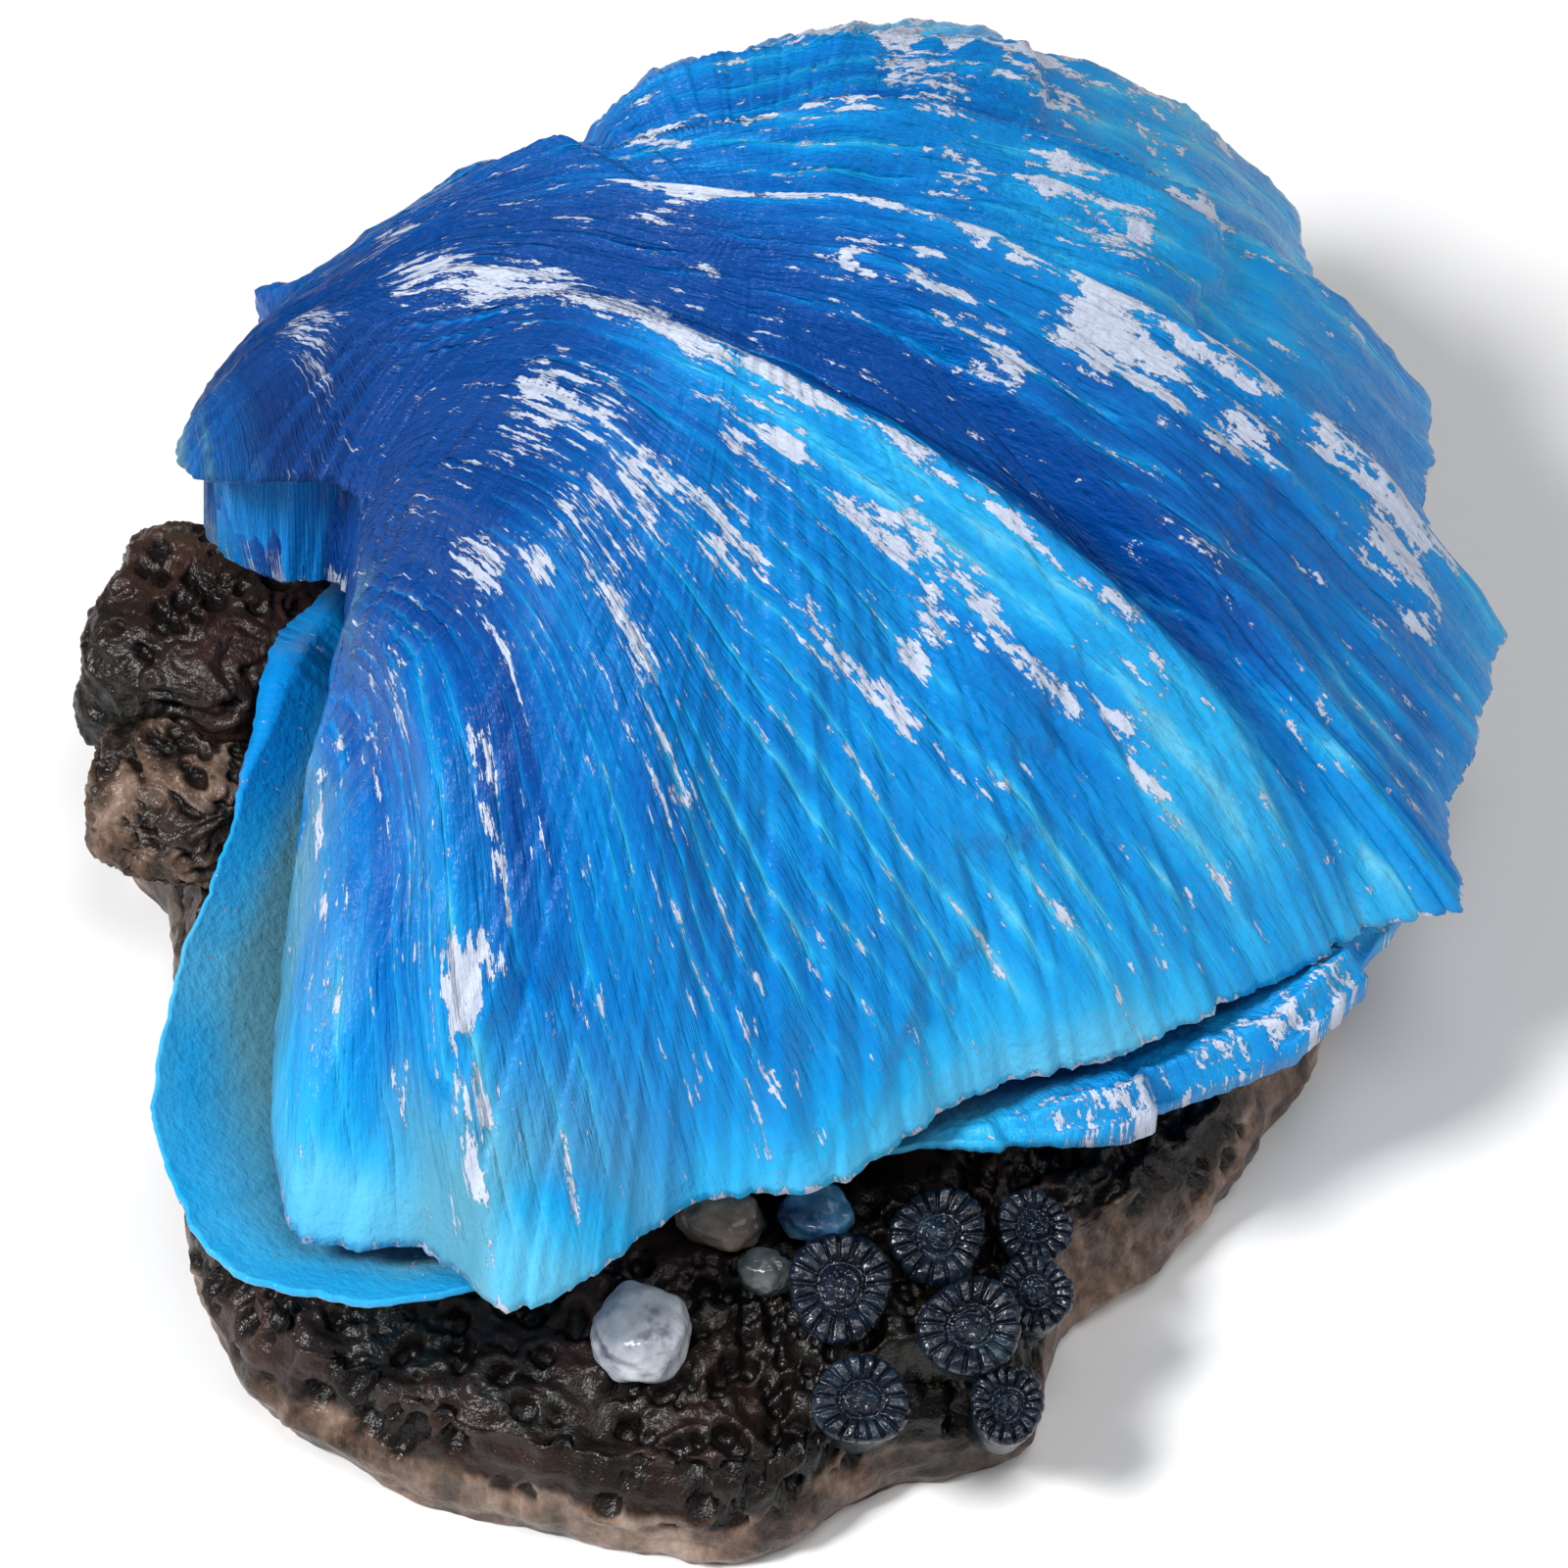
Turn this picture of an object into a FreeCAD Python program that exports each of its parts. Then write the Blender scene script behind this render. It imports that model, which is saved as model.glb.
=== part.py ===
import FreeCAD, Part
import math
import os

from FreeCAD import Vector

# Bubbling giant clam for an aquarium: a hinged shell on a piece of porous rock.
#
# An air pump feeds a plain hose nipple at the back of the rock. The air rises through the bowl of
# the lower valve, collects in a cup under the upper valve, lifts the valve on its hinge pin and
# escapes, and the valve falls shut again under its own weight.
#
# Frame, in millimetres: the origin is in the middle of the flat underside of the rock, +Z is up,
# the mouth of the clam faces -Y and the hinge pin lies along X at the back. The clam is shut.

# ---------------------------------------------------------------- driving dimensions
# Rock: outline of the underside, anticlockwise from the back left
ROCK_OUTLINE = (
    (-39, 23), (-45, 16), (-47, 6), (-46, -8), (-43, -16), (-37, -20), (-30, -27.5),
    (-22, -27), (-12, -31.5), (0, -34), (14, -34), (28, -31), (39, -23), (44, -12), (45, 2),
    (43, 16), (36, 28), (24, 38), (8, 45), (-4, 45.5), (-10, 42), (-13, 37), (-20, 32.5),
    (-30, 28),
)
ROCK_WALL_HEIGHT = 9.0        # height of the lumpy wall round the edge
ROCK_WALL_BULGE = 1.6         # how far the wall stands out half way up
SEAT_HEIGHT = 11.0            # level the lower valve stands on
SEAT_SHARE = 0.74             # share of the outline that is flat seat
REEF_CENTRE = (-32.0, -22.0)  # low hump that carries the button polyps
REEF_FLAT = 2.0               # radius of its level top
REEF_RADIUS = 11.0
REEF_RISE = 3.2
ROCK_LUMP = 0.8               # height of the lumps on the rock
ROCK_LUMP_X = (0.42, 1.0)     # their wave along x: radians per mm, phase
ROCK_LUMP_Y = (0.37, -0.6)    # and along y
WALL_LEVELS = (0.35, 0.7)     # rings of the wall, as shares of its height
WALL_RIPPLE = (0.5, 1.3)      # ripple of the wall: share of the bulge, radians per step
TOP_SHARES = (1.0, 0.94, 0.88, 0.82, SEAT_SHARE)  # rings of the top, as shares of the outline
SEAT_BLEND = 0.08             # share of the outline over which the seat turns to rough rock

# Lower valve: its lip, anticlockwise from the back left (x, y, z)
BOWL_LIP = (
    (-9, 30, 25), (-24, 28.5, 24), (-40, 25, 23.5), (-49.5, 17, 23.5), (-49, 8, 22.5),
    (-42.5, 0, 20.5), (-35, -3.5, 17.5), (-26, -12, 17.5), (-21, -23, 18.5), (-14, -31, 18),
    (-5, -37.5, 18.5), (4, -39, 18), (15, -37, 18.5), (26, -33, 18), (36, -26, 19),
    (43, -16, 19), (47, -5, 20), (47.5, 6, 20), (44, 17, 21), (36, 25, 21.5), (22, 28.5, 21),
    (8, 30.5, 21), (-2, 31, 22),
)
BOWL_CENTRE = (0.0, 0.0)
BOWL_FLOOR = 14.0             # level of the bowl's floor at its centre
BOWL_RISE = 4.0               # power of the inside curve from floor to lip
BOWL_FOOT_SHARE = 0.60        # share of the lip's outline that stands on the seat
BOWL_FLARE = 1.35             # power of the outside curve from foot to lip
BOWL_LIP_THICK = 1.7

# Upper valve: its margin, anticlockwise from the left shoulder (x, y, z)
LID_MARGIN = (
    (-10, 26.5, 25.5), (-26, 22.5, 23.5), (-43, 14.5, 22.5), (-45, 4, 22), (-42, -4, 21.5),
    (-34, -9, 21.5), (-27, -16, 21.5), (-20, -22, 21.5), (-13, -29, 21.5), (-5, -35, 21.5),
    (1, -37.5, 21.5), (5, -44.5, 21.5), (13, -42, 22), (21, -38.5, 22.5), (30, -35, 23),
    (39, -27.5, 24), (48, -17, 26), (53, -6, 30), (51.5, 6, 29.5), (47.5, 17, 27), (38, 25, 26),
    (24, 27, 26.5), (16, 28.5, 27.5), (14, 35, 29.5), (5, 38.5, 30), (-4, 37.5, 29.5),
    (-5, 29, 28),
)
LID_CROWN = (8.0, 5.0, 61.0)  # highest point of the shell, before its folds
LID_CORE = (8.0, 5.0, 20.0)   # point that folds and wall thickness are measured from
LID_WALL = 2.4
LID_UMBO = (-4.0, 38.0)       # point on plan that the folds fan out from
LID_FRONT_CURVE = (1.8, 0.9)  # powers of the shell's section towards the front and sides
LID_BACK_CURVE = (2.4, 0.48)  # powers of the shell's section towards the beak
LID_BACK_ANGLE = 110.0        # direction of the beak from the crown, in degrees from +X
LID_BACK_SPREAD = 3           # the higher, the narrower the part shaped by the back curve
BEAK_LEAN = (-4.5, 1.2)       # how far the beak leans out over the recess below it
BEAK_SIDE = (24.0, 36.0)      # y over which it starts to lean
BEAK_EDGE = (37.5, 41.5)      # heights over which it starts to lean
RECESS_Y = 28.5               # middle of the recess in the left side of the beak
RECESS_REACH = 5.5
RECESS_DEPTH = 2.2
RECESS_SIDE = (-3.0, 3.0)     # x over which the recess ends
RECESS_TOP = (37.5, 41.0)     # heights over which the recess ends
SHOULDER = (20.0, 21.0)       # bump on the far side of the beak
SHOULDER_REACH = 14.0
SHOULDER_RISE = 6.5
SHOULDER_FADE = 4             # the higher, the closer to the margin the bump reaches

# Folds of the upper valve: angle from the -Y direction in degrees, height in mm at the margin
FOLDS = (
    (-70, 0.0), (-58, 1.5), (-52, -1.5), (-46, 1.9), (-38, -1.5), (-26, 1.3), (-17, -0.6),
    (-8, 0.4), (-3, 0.0), (4, 2.2), (8, -2.4), (20.5, 2.6), (24.5, -2.0), (33.5, 2.2),
    (37.5, -1.6), (45, 2.0), (49, -1.2), (58, 1.8), (63, -0.8), (74, 1.0), (88, 0.0),
)
FOLD_REACH = (4.0, 45.0)      # distances from the umbo over which the folds grow
FOLD_TWIST = 8.5              # how far the folds turn, in degrees, close to the umbo
FOLD_TWIST_REACH = (15.0, 36.0)
FOLD_TWIST_LEFT = (5.0, 35.0)  # angles left of the middle over which the twist grows
FOLD_TWIST_MORE = 0.6         # by this share
FOLD_TWIST_LONGER = 16.0      # and reaches this much further

# Hinge
PIN_Y = 21.5
PIN_Z = 24.5
PIN_RADIUS = 1.0
PIN_REACH = 12.0              # from the middle of the hinge to each end of the pin
HINGE_X = 8.5                 # middle of the hinge, clear of the recess in the beak
PIN_CLEARANCE = 0.05          # radial, knuckle on pin
LUG_WIDTH = 3.0
KNUCKLE_GAP = 0.4             # along the pin, knuckle to lug
KNUCKLE_LENGTH = 6.5
EYE_RADIUS = 2.2              # round end of lugs and knuckles
LUG_FOOT = (17.5, 13.0)       # (y, z) of the lugs' feet, in the floor of the bowl
KNUCKLE_FOOT = (36.0, 40.0)   # (y, z) of the knuckles' feet, in the wall of the beak

# Air line
AIR_X = 18.0
AIR_Z = 4.0                   # height of the tube's axis along the groove
RISER_Y = -4.0
TUBE_RADIUS = 2.5
TUBE_BORE = 1.7
TUBE_BEND = 4.5
TUBE_BACK = 38.0              # y of the tube's end at the back
TUBE_TOP = 15.0
TUBE_GAP = 0.1                # air tube to rock and bowl
GROOVE_WIDTH = 6.6
GROOVE_HEIGHT = 8.2
GROOVE_LENGTH = 60.0          # runs out through the back of the rock
INLET_BORE = 1.1
INLET_RADIUS = 2.1            # for airline of 4 mm bore
INLET_LENGTH = 8.0
INLET_CHAMFER = 0.5
INLET_COLLAR = (3.2, 3.0)     # radius and length
INLET_SPIGOT = 5.0            # length inside the air tube
NOZZLE_FLANGE = (4.6, 1.2)    # radius and thickness
NOZZLE_DOME = (3.4, 3.0)      # radius and height above the flange
NOZZLE_TAPER = 0.8            # radius of the dome's crown as a share of its foot
NOZZLE_SPACE = 0.8            # air space between the tube's end and the crown
NOZZLE_HOLES = 4
NOZZLE_HOLE = 0.6
NOZZLE_HOLE_CIRCLE = 1.0      # radius of the circle that the holes stand on
CUP_CENTRE = (12.0, -3.0)
CUP_RADIUS = 15.0
CUP_WALL = 1.0
CUP_BOTTOM = 30.0
CUP_TOP = 40.0
CUP_TAPER = 0.8               # radius of its top as a share of its mouth
CUP_STEM = 3.5                # radius of the post that holds the cup under the shell

# Boulders behind the hinge: centre, radii, underside, lump height, phase
BOULDERS = {
    "rear_boulder_lower": ((-10.5, 37.0, 11.5), (7.2, 7.2, 6.5), 7.5, 0.08, 0.4),
    "rear_boulder_upper": ((-2.5, 39.5, 15.5), (8.0, 7.5, 7.2), 9.0, 0.06, 2.0),
}

# Small pieces set in the rock
POLYPS = (                    # (x, y, z) of the middle of the disc, and its radius
    (-32.0, -16.4, 15.0, 3.1), (-26.3, -20.6, 15.0, 2.8), (-31.6, -24.8, 14.8, 2.9),
    (-38.0, -20.2, 13.0, 2.7), (-22.6, -25.6, 13.6, 2.2), (-27.0, -27.4, 13.4, 2.2),
    (-34.4, -28.4, 12.0, 2.2),
)
POLYP_LEAN = (-0.36, -0.20)   # slope of the polyps' axes along x and y
POLYP_HEIGHT = 6.0
POLYP_WAIST = 0.72            # radius of the stalk as a share of the disc
POLYP_FLARE = 2.4             # depth below the disc at which the stalk starts to widen
POLYP_RIM = (0.9, 0.3)        # depths of the lower and upper edge of the disc's rim
POLYP_ROUNDING = 0.4
POLYP_BUTTON = (0.36, 0.28)   # radius of the raised centre at its foot and top, as shares
POLYP_BUTTON_FOOT = 0.2       # depth of its foot
POLYP_BUTTON_TOP = (0.3, 0.4)  # height of its edge and of its middle
PEBBLE = (-38.2, -6.0, 11.6)
PEBBLE_RADII = (3.1, 3.1, 2.6)
CORALS = {                    # centre and radii of each nub
    "coral_nub_peach": ((-28.6, -7.2, 12.0), (2.2, 3.0, 1.9)),
    "coral_nub_grey": ((-31.2, -11.4, 11.6), (1.5, 1.9, 1.5)),
    "coral_nub_blue": ((-26.7, -13.0, 12.8), (2.0, 2.4, 1.9)),
}

# Making of the castings
RINGS = 10                    # rings of facets from the middle of a valve to its edge
STEPS = 72                    # facets round each casting
BOULDER_STEPS = 36
BOULDER_LEVELS = 9
BOULDER_LUMPS = (3, 2)        # lumps round a boulder and from its bottom to its top
SEWING = 0.001                # tolerance for joining facets
OVERCUT = 1.0                 # how far bores pass beyond the surface they open


# ---------------------------------------------------------------- curves and small helpers
def closed_curve(points, steps):
    """Points along a smooth closed curve through the given points, evenly spaced by index."""
    count = len(points)
    curve = []
    for step in range(steps):
        position = step * count / steps
        start = int(position)
        t = position - start
        before, here, after, beyond = (points[(start + k) % count] for k in (-1, 0, 1, 2))
        curve.append(tuple(
            0.5 * (2 * b + (c - a) * t + (2 * a - 5 * b + 4 * c - d) * t ** 2
                   + (3 * b - a - 3 * c + d) * t ** 3)
            for a, b, c, d in zip(before, here, after, beyond)))
    return curve


def smooth(value, low, high):
    """0 below low, 1 above high, and a smooth step between them."""
    t = min(1.0, max(0.0, (value - low) / (high - low)))
    return t * t * (3 - 2 * t)


def towards(centre, rim, share):
    """Point on plan at a share of the way from the centre to the rim."""
    return tuple(c + (r - c) * share for c, r in zip(centre[:2], rim[:2]))


def casting(rows):
    """Solid closed by rows of points: each row is a ring, or one point at the two ends."""
    points = [point for row in rows for point in row]
    starts = [sum(len(row) for row in rows[:k]) for k in range(len(rows))]
    facets = []
    for k in range(len(rows) - 1):
        near, far = len(rows[k]), len(rows[k + 1])
        for i in range(max(near, far)):
            a = starts[k] + i % near
            b = starts[k] + (i + 1) % near
            c = starts[k + 1] + i % far
            d = starts[k + 1] + (i + 1) % far
            if near > 1:
                facets.append((a, b, c))
            if far > 1:
                facets.append((b, d, c) if near > 1 else (a, d, c))
    shell = Part.Shape()
    shell.makeShapeFromMesh((points, facets), SEWING)
    solid = Part.Solid(shell.Shells[0])
    if solid.Volume < 0:
        solid.reverse()
    return solid


def cylinder(radius, length, start, direction):
    return Part.makeCylinder(radius, length, Vector(*start), Vector(*direction))


def save(name, shape):
    shape.exportStep("parts/" + name + ".step")


# ---------------------------------------------------------------- rock
def rock_lumps(x, y):
    pace_x, phase_x = ROCK_LUMP_X
    pace_y, phase_y = ROCK_LUMP_Y
    return ROCK_LUMP * math.sin(pace_x * x + phase_x) * math.cos(pace_y * y + phase_y)


def rock_top(x, y, share):
    """Height of the rock's top: lumpy edge, low hump for the polyps, flat seat inside."""
    edge = smooth(share, SEAT_SHARE, 1.0)
    away = math.hypot(x - REEF_CENTRE[0], y - REEF_CENTRE[1])
    hump = 1 - smooth(away, REEF_FLAT, REEF_RADIUS)
    rough = smooth(share, SEAT_SHARE, SEAT_SHARE + SEAT_BLEND)
    slope = (SEAT_HEIGHT - ROCK_WALL_HEIGHT) * edge
    return SEAT_HEIGHT - slope + rough * (rock_lumps(x, y) + REEF_RISE * hump)


def rock_base():
    outline = closed_curve(ROCK_OUTLINE, STEPS)
    centre = (0.0, 0.0)
    rows = [[(0.0, 0.0, 0.0)]]
    rows.append([(x, y, 0.0) for x, y in outline])
    depth, pace = WALL_RIPPLE
    for level in WALL_LEVELS:
        bulge = ROCK_WALL_BULGE * math.sin(math.pi * level)
        row = []
        for k, (x, y) in enumerate(outline):
            ripple = bulge * (1 + depth * math.sin(k * pace))
            share = 1 + ripple / math.hypot(x, y)
            row.append((x * share, y * share, ROCK_WALL_HEIGHT * level))
        rows.append(row)
    for share in TOP_SHARES:
        row = []
        for rim in outline:
            x, y = towards(centre, rim, share)
            row.append((x, y, rock_top(x, y, share)))
        rows.append(row)
    rows.append([(0.0, 0.0, SEAT_HEIGHT)])
    rock = casting(rows)
    groove = Part.makeBox(
        GROOVE_WIDTH, GROOVE_LENGTH, GROOVE_HEIGHT,
        Vector(AIR_X - GROOVE_WIDTH / 2, RISER_Y - GROOVE_WIDTH / 2, 0))
    riser = cylinder(
        TUBE_RADIUS + TUBE_GAP, SEAT_HEIGHT + 2 * OVERCUT, (AIR_X, RISER_Y, -OVERCUT), (0, 0, 1))
    return rock.cut(groove.fuse(riser))


def boulder(centre, radii, flat_bottom, lump, phase):
    """Lumpy round stone, cut off flat where it stands."""
    rows = [[(centre[0], centre[1], flat_bottom)]]
    steps, levels = BOULDER_STEPS, BOULDER_LEVELS
    round_lumps, high_lumps = BOULDER_LUMPS
    for level in range(1, levels):
        tilt = math.pi * (level / levels - 0.5)
        row = []
        for step in range(steps):
            turn = 2 * math.pi * step / steps
            grow = 1 + lump * math.sin(round_lumps * turn + phase) * math.cos(high_lumps * tilt + phase)
            row.append((
                centre[0] + radii[0] * grow * math.cos(tilt) * math.cos(turn),
                centre[1] + radii[1] * grow * math.cos(tilt) * math.sin(turn),
                max(flat_bottom, centre[2] + radii[2] * grow * math.sin(tilt))))
        rows.append(row)
    rows.append([(centre[0], centre[1], centre[2] + radii[2])])
    return casting(rows)


# ---------------------------------------------------------------- valves
def bowl_inside(lip, share):
    x, y = towards(BOWL_CENTRE, lip, share)
    return (x, y, BOWL_FLOOR + (lip[2] - BOWL_FLOOR) * share ** BOWL_RISE)


def bowl_outside(lip, share):
    x, y = towards(BOWL_CENTRE, lip, share)
    rise = ((share - BOWL_FOOT_SHARE) / (1 - BOWL_FOOT_SHARE)) ** BOWL_FLARE
    return (x, y, SEAT_HEIGHT + (lip[2] - BOWL_LIP_THICK - SEAT_HEIGHT) * rise)


def lower_valve():
    lips = closed_curve(BOWL_LIP, STEPS)
    rows = [[(BOWL_CENTRE[0], BOWL_CENTRE[1], SEAT_HEIGHT)]]
    for k in range(RINGS // 2 + 1):
        share = BOWL_FOOT_SHARE + (1 - BOWL_FOOT_SHARE) * k / (RINGS // 2)
        rows.append([bowl_outside(lip, share) for lip in lips])
    for k in range(RINGS, 0, -1):
        rows.append([bowl_inside(lip, k / RINGS) for lip in lips])
    rows.append([(BOWL_CENTRE[0], BOWL_CENTRE[1], BOWL_FLOOR)])
    deep = BOWL_FLOOR - SEAT_HEIGHT + 2 * OVERCUT
    start = (AIR_X, RISER_Y, SEAT_HEIGHT - OVERCUT)
    bore = cylinder(TUBE_RADIUS + TUBE_GAP, deep, start, (0, 0, 1))
    return casting(rows).cut(bore)


def fold_height(x, y):
    """Height of the folds at a point on plan: sharp crests and round furrows."""
    reach = math.hypot(x - LID_UMBO[0], y - LID_UMBO[1])
    angle = math.degrees(math.atan2(x - LID_UMBO[0], LID_UMBO[1] - y))
    left = smooth(-angle, *FOLD_TWIST_LEFT)
    reach_end = FOLD_TWIST_REACH[1] + FOLD_TWIST_LONGER * left
    twist = FOLD_TWIST * (1 + FOLD_TWIST_MORE * left)
    angle -= twist * (1 - smooth(reach, FOLD_TWIST_REACH[0], reach_end))
    if angle <= FOLDS[0][0] or angle >= FOLDS[-1][0]:
        return 0.0
    for (low, start), (high, end) in zip(FOLDS, FOLDS[1:]):
        if low <= angle <= high:
            share = (angle - low) / (high - low)
            break
    if start > end:
        share, start, end = 1 - share, end, start
    height = start + (end - start) * share ** 2 * (2 - share)
    return height * smooth(reach, *FOLD_REACH)


def lid_outside(margin, share):
    """Outer skin of the upper valve at a share of the way from the crown to the margin."""
    x, y = towards(LID_CROWN, margin, share)
    away = math.atan2(margin[1] - LID_CROWN[1], margin[0] - LID_CROWN[0])
    back = max(0.0, math.cos(away - math.radians(LID_BACK_ANGLE))) ** LID_BACK_SPREAD
    power, shape = (f + (b - f) * back for f, b in zip(LID_FRONT_CURVE, LID_BACK_CURVE))
    z = margin[2] + (LID_CROWN[2] - margin[2]) * (1 - share ** power) ** shape
    bump = 1 - smooth(math.hypot(x - SHOULDER[0], y - SHOULDER[1]), 0.0, SHOULDER_REACH)
    z += SHOULDER_RISE * bump * (1 - share ** SHOULDER_FADE)
    lean = smooth(y, *BEAK_SIDE) * smooth(z, *BEAK_EDGE)
    recess = 1 - smooth(abs(y - RECESS_Y), 0.0, RECESS_REACH)
    recess *= (1 - smooth(z, *RECESS_TOP)) * (1 - smooth(x, *RECESS_SIDE))
    point = (x + BEAK_LEAN[0] * lean + RECESS_DEPTH * recess, y + BEAK_LEAN[1] * lean, z)
    return moved_from_core(point, fold_height(x, y))


def moved_from_core(point, distance):
    """The point moved straight away from the core of the upper valve."""
    away = [p - c for p, c in zip(point, LID_CORE)]
    share = distance / math.sqrt(sum(a * a for a in away))
    return tuple(p + a * share for p, a in zip(point, away))


def upper_valve():
    margins = closed_curve(LID_MARGIN, STEPS)
    shares = [math.sin(0.5 * math.pi * k / RINGS) for k in range(1, RINGS + 1)]
    crown = lid_outside((LID_CROWN[0], LID_CROWN[1] - 1, 0), 0.0)
    outside = [[crown]] + [[lid_outside(m, share) for m in margins] for share in shares]
    inside = [[moved_from_core(point, -LID_WALL) for point in row] for row in outside]
    return casting(outside + inside[::-1])


# ---------------------------------------------------------------- hinge
def eye(x, width, foot, bore_radius):
    """Plate across the pin with a round end on the pin and a foot at the given (y, z)."""
    round_end = cylinder(EYE_RADIUS, width, (x, PIN_Y, PIN_Z), (1, 0, 0))
    corners = [
        Vector(x, PIN_Y - EYE_RADIUS, PIN_Z), Vector(x, PIN_Y + EYE_RADIUS, PIN_Z),
        Vector(x, foot[0] + EYE_RADIUS, foot[1]), Vector(x, foot[0] - EYE_RADIUS, foot[1]),
        Vector(x, PIN_Y - EYE_RADIUS, PIN_Z)]
    web = Part.Face(Part.makePolygon(corners)).extrude(Vector(width, 0, 0))
    bore = cylinder(bore_radius, width + 2 * OVERCUT, (x - OVERCUT, PIN_Y, PIN_Z), (1, 0, 0))
    return round_end.fuse(web).removeSplitter().cut(bore)


def fitted(piece, host):
    """The piece cut to fit against its host: the largest solid that is left outside it."""
    return max(piece.cut(host).Solids, key=lambda solid: solid.Volume)


def save_hinge(bowl, lid):
    pin = cylinder(PIN_RADIUS, 2 * PIN_REACH, (HINGE_X - PIN_REACH, PIN_Y, PIN_Z), (1, 0, 0))
    save("hinge_pin", pin)
    for name, side in (("left", -1), ("right", 1)):
        lug_start = HINGE_X + (PIN_REACH - LUG_WIDTH if side > 0 else -PIN_REACH)
        lug = eye(lug_start, LUG_WIDTH, LUG_FOOT, PIN_RADIUS)
        save("hinge_lug_" + name, fitted(lug, bowl))
        inner = PIN_REACH - LUG_WIDTH - KNUCKLE_GAP
        knuckle_start = HINGE_X + (inner - KNUCKLE_LENGTH if side > 0 else -inner)
        knuckle = eye(knuckle_start, KNUCKLE_LENGTH, KNUCKLE_FOOT, PIN_RADIUS + PIN_CLEARANCE)
        save("hinge_knuckle_" + name, fitted(knuckle, lid))


# ---------------------------------------------------------------- air line
def turned(profile, start, axis):
    """Solid of revolution: profile is (radius, distance along the axis) from the start."""
    points = [Vector(radius, 0, along) for radius, along in profile]
    face = Part.Face(Part.makePolygon(points + points[:1]))
    solid = face.revolve(Vector(0, 0, 0), Vector(0, 0, 1), 360)
    solid.Placement = FreeCAD.Placement(
        Vector(*start), FreeCAD.Rotation(Vector(0, 0, 1), Vector(*axis)))
    return solid


def air_tube():
    corner = math.sqrt(0.5) * TUBE_BEND
    turn = (RISER_Y + TUBE_BEND, AIR_Z + TUBE_BEND)
    back = Vector(AIR_X, TUBE_BACK, AIR_Z)
    bend_start = Vector(AIR_X, turn[0], AIR_Z)
    bend_middle = Vector(AIR_X, turn[0] - corner, turn[1] - corner)
    bend_end = Vector(AIR_X, RISER_Y, turn[1])
    top = Vector(AIR_X, RISER_Y, TUBE_TOP)
    path = Part.Wire([
        Part.makeLine(back, bend_start),
        Part.Arc(bend_start, bend_middle, bend_end).toShape(),
        Part.makeLine(bend_end, top)])
    ring = [
        Part.Wire(Part.makeCircle(radius, back, Vector(0, -1, 0)))
        for radius in (TUBE_RADIUS, TUBE_BORE)]
    outside, inside = (path.makePipeShell([wire], True, True) for wire in ring)
    return outside.cut(inside)


def air_inlet_nipple():
    """Plain hose nipple with a collar in the mouth of the groove and a spigot in the air tube."""
    radius, length = INLET_COLLAR
    tip = length + INLET_LENGTH
    profile = [
        (INLET_BORE, -INLET_SPIGOT), (TUBE_BORE, -INLET_SPIGOT), (TUBE_BORE, 0), (radius, 0),
        (radius, length), (INLET_RADIUS, length), (INLET_RADIUS, tip - INLET_CHAMFER),
        (INLET_RADIUS - INLET_CHAMFER, tip), (INLET_BORE, tip)]
    return turned(profile, (AIR_X, TUBE_BACK, AIR_Z), (0, 1, 0))


def air_nozzle():
    """Cap over the tube's end, with outlet holes in its crown."""
    flange, thick = NOZZLE_FLANGE
    dome, height = NOZZLE_DOME
    bottom = BOWL_FLOOR + TUBE_GAP
    socket = TUBE_TOP - bottom
    top = thick + height
    profile = [
        (TUBE_RADIUS, 0), (flange, 0), (flange, thick), (dome, thick), (dome * NOZZLE_TAPER, top),
        (0, top), (0, socket + NOZZLE_SPACE), (TUBE_BORE, socket + NOZZLE_SPACE),
        (TUBE_BORE, socket), (TUBE_RADIUS, socket)]
    cap = turned(profile, (AIR_X, RISER_Y, bottom), (0, 0, 1))
    for k in range(NOZZLE_HOLES):
        turn = 2 * math.pi * (k + 0.5) / NOZZLE_HOLES
        x = AIR_X + NOZZLE_HOLE_CIRCLE * math.cos(turn)
        y = RISER_Y + NOZZLE_HOLE_CIRCLE * math.sin(turn)
        cap = cap.cut(cylinder(NOZZLE_HOLE, height + 2 * OVERCUT, (x, y, bottom + socket), (0, 0, 1)))
    return cap


def air_cup():
    """Thin bell, open below, on a post that hangs from the inside of the shell."""
    height = CUP_TOP - CUP_BOTTOM
    slope = CUP_TAPER * CUP_RADIUS
    profile = [
        (CUP_RADIUS - CUP_WALL, 0), (CUP_RADIUS, 0), (slope, height), (CUP_STEM, height),
        (CUP_STEM, LID_CROWN[2] - CUP_BOTTOM), (0, LID_CROWN[2] - CUP_BOTTOM),
        (0, height - CUP_WALL), (slope - CUP_WALL, height - CUP_WALL)]
    return turned(profile, CUP_CENTRE + (CUP_BOTTOM,), (0, 0, 1))


# ---------------------------------------------------------------- pieces set in the rock
def button_polyp(x, y, z, radius):
    """Leaning stalk that widens to a disc with a rounded edge and a raised centre."""
    waist = POLYP_WAIST * radius
    foot, shoulder = (share * radius for share in POLYP_BUTTON)
    edge, middle = POLYP_BUTTON_TOP
    profile = [
        (0, -POLYP_HEIGHT), (waist, -POLYP_HEIGHT), (waist, -POLYP_FLARE), (radius, -POLYP_RIM[0]),
        (radius, -POLYP_RIM[1]), (radius - POLYP_ROUNDING, 0), (foot, -POLYP_BUTTON_FOOT),
        (shoulder, edge), (0, middle)]
    return turned(profile, (x, y, z), (POLYP_LEAN[0], POLYP_LEAN[1], 1))


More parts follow.
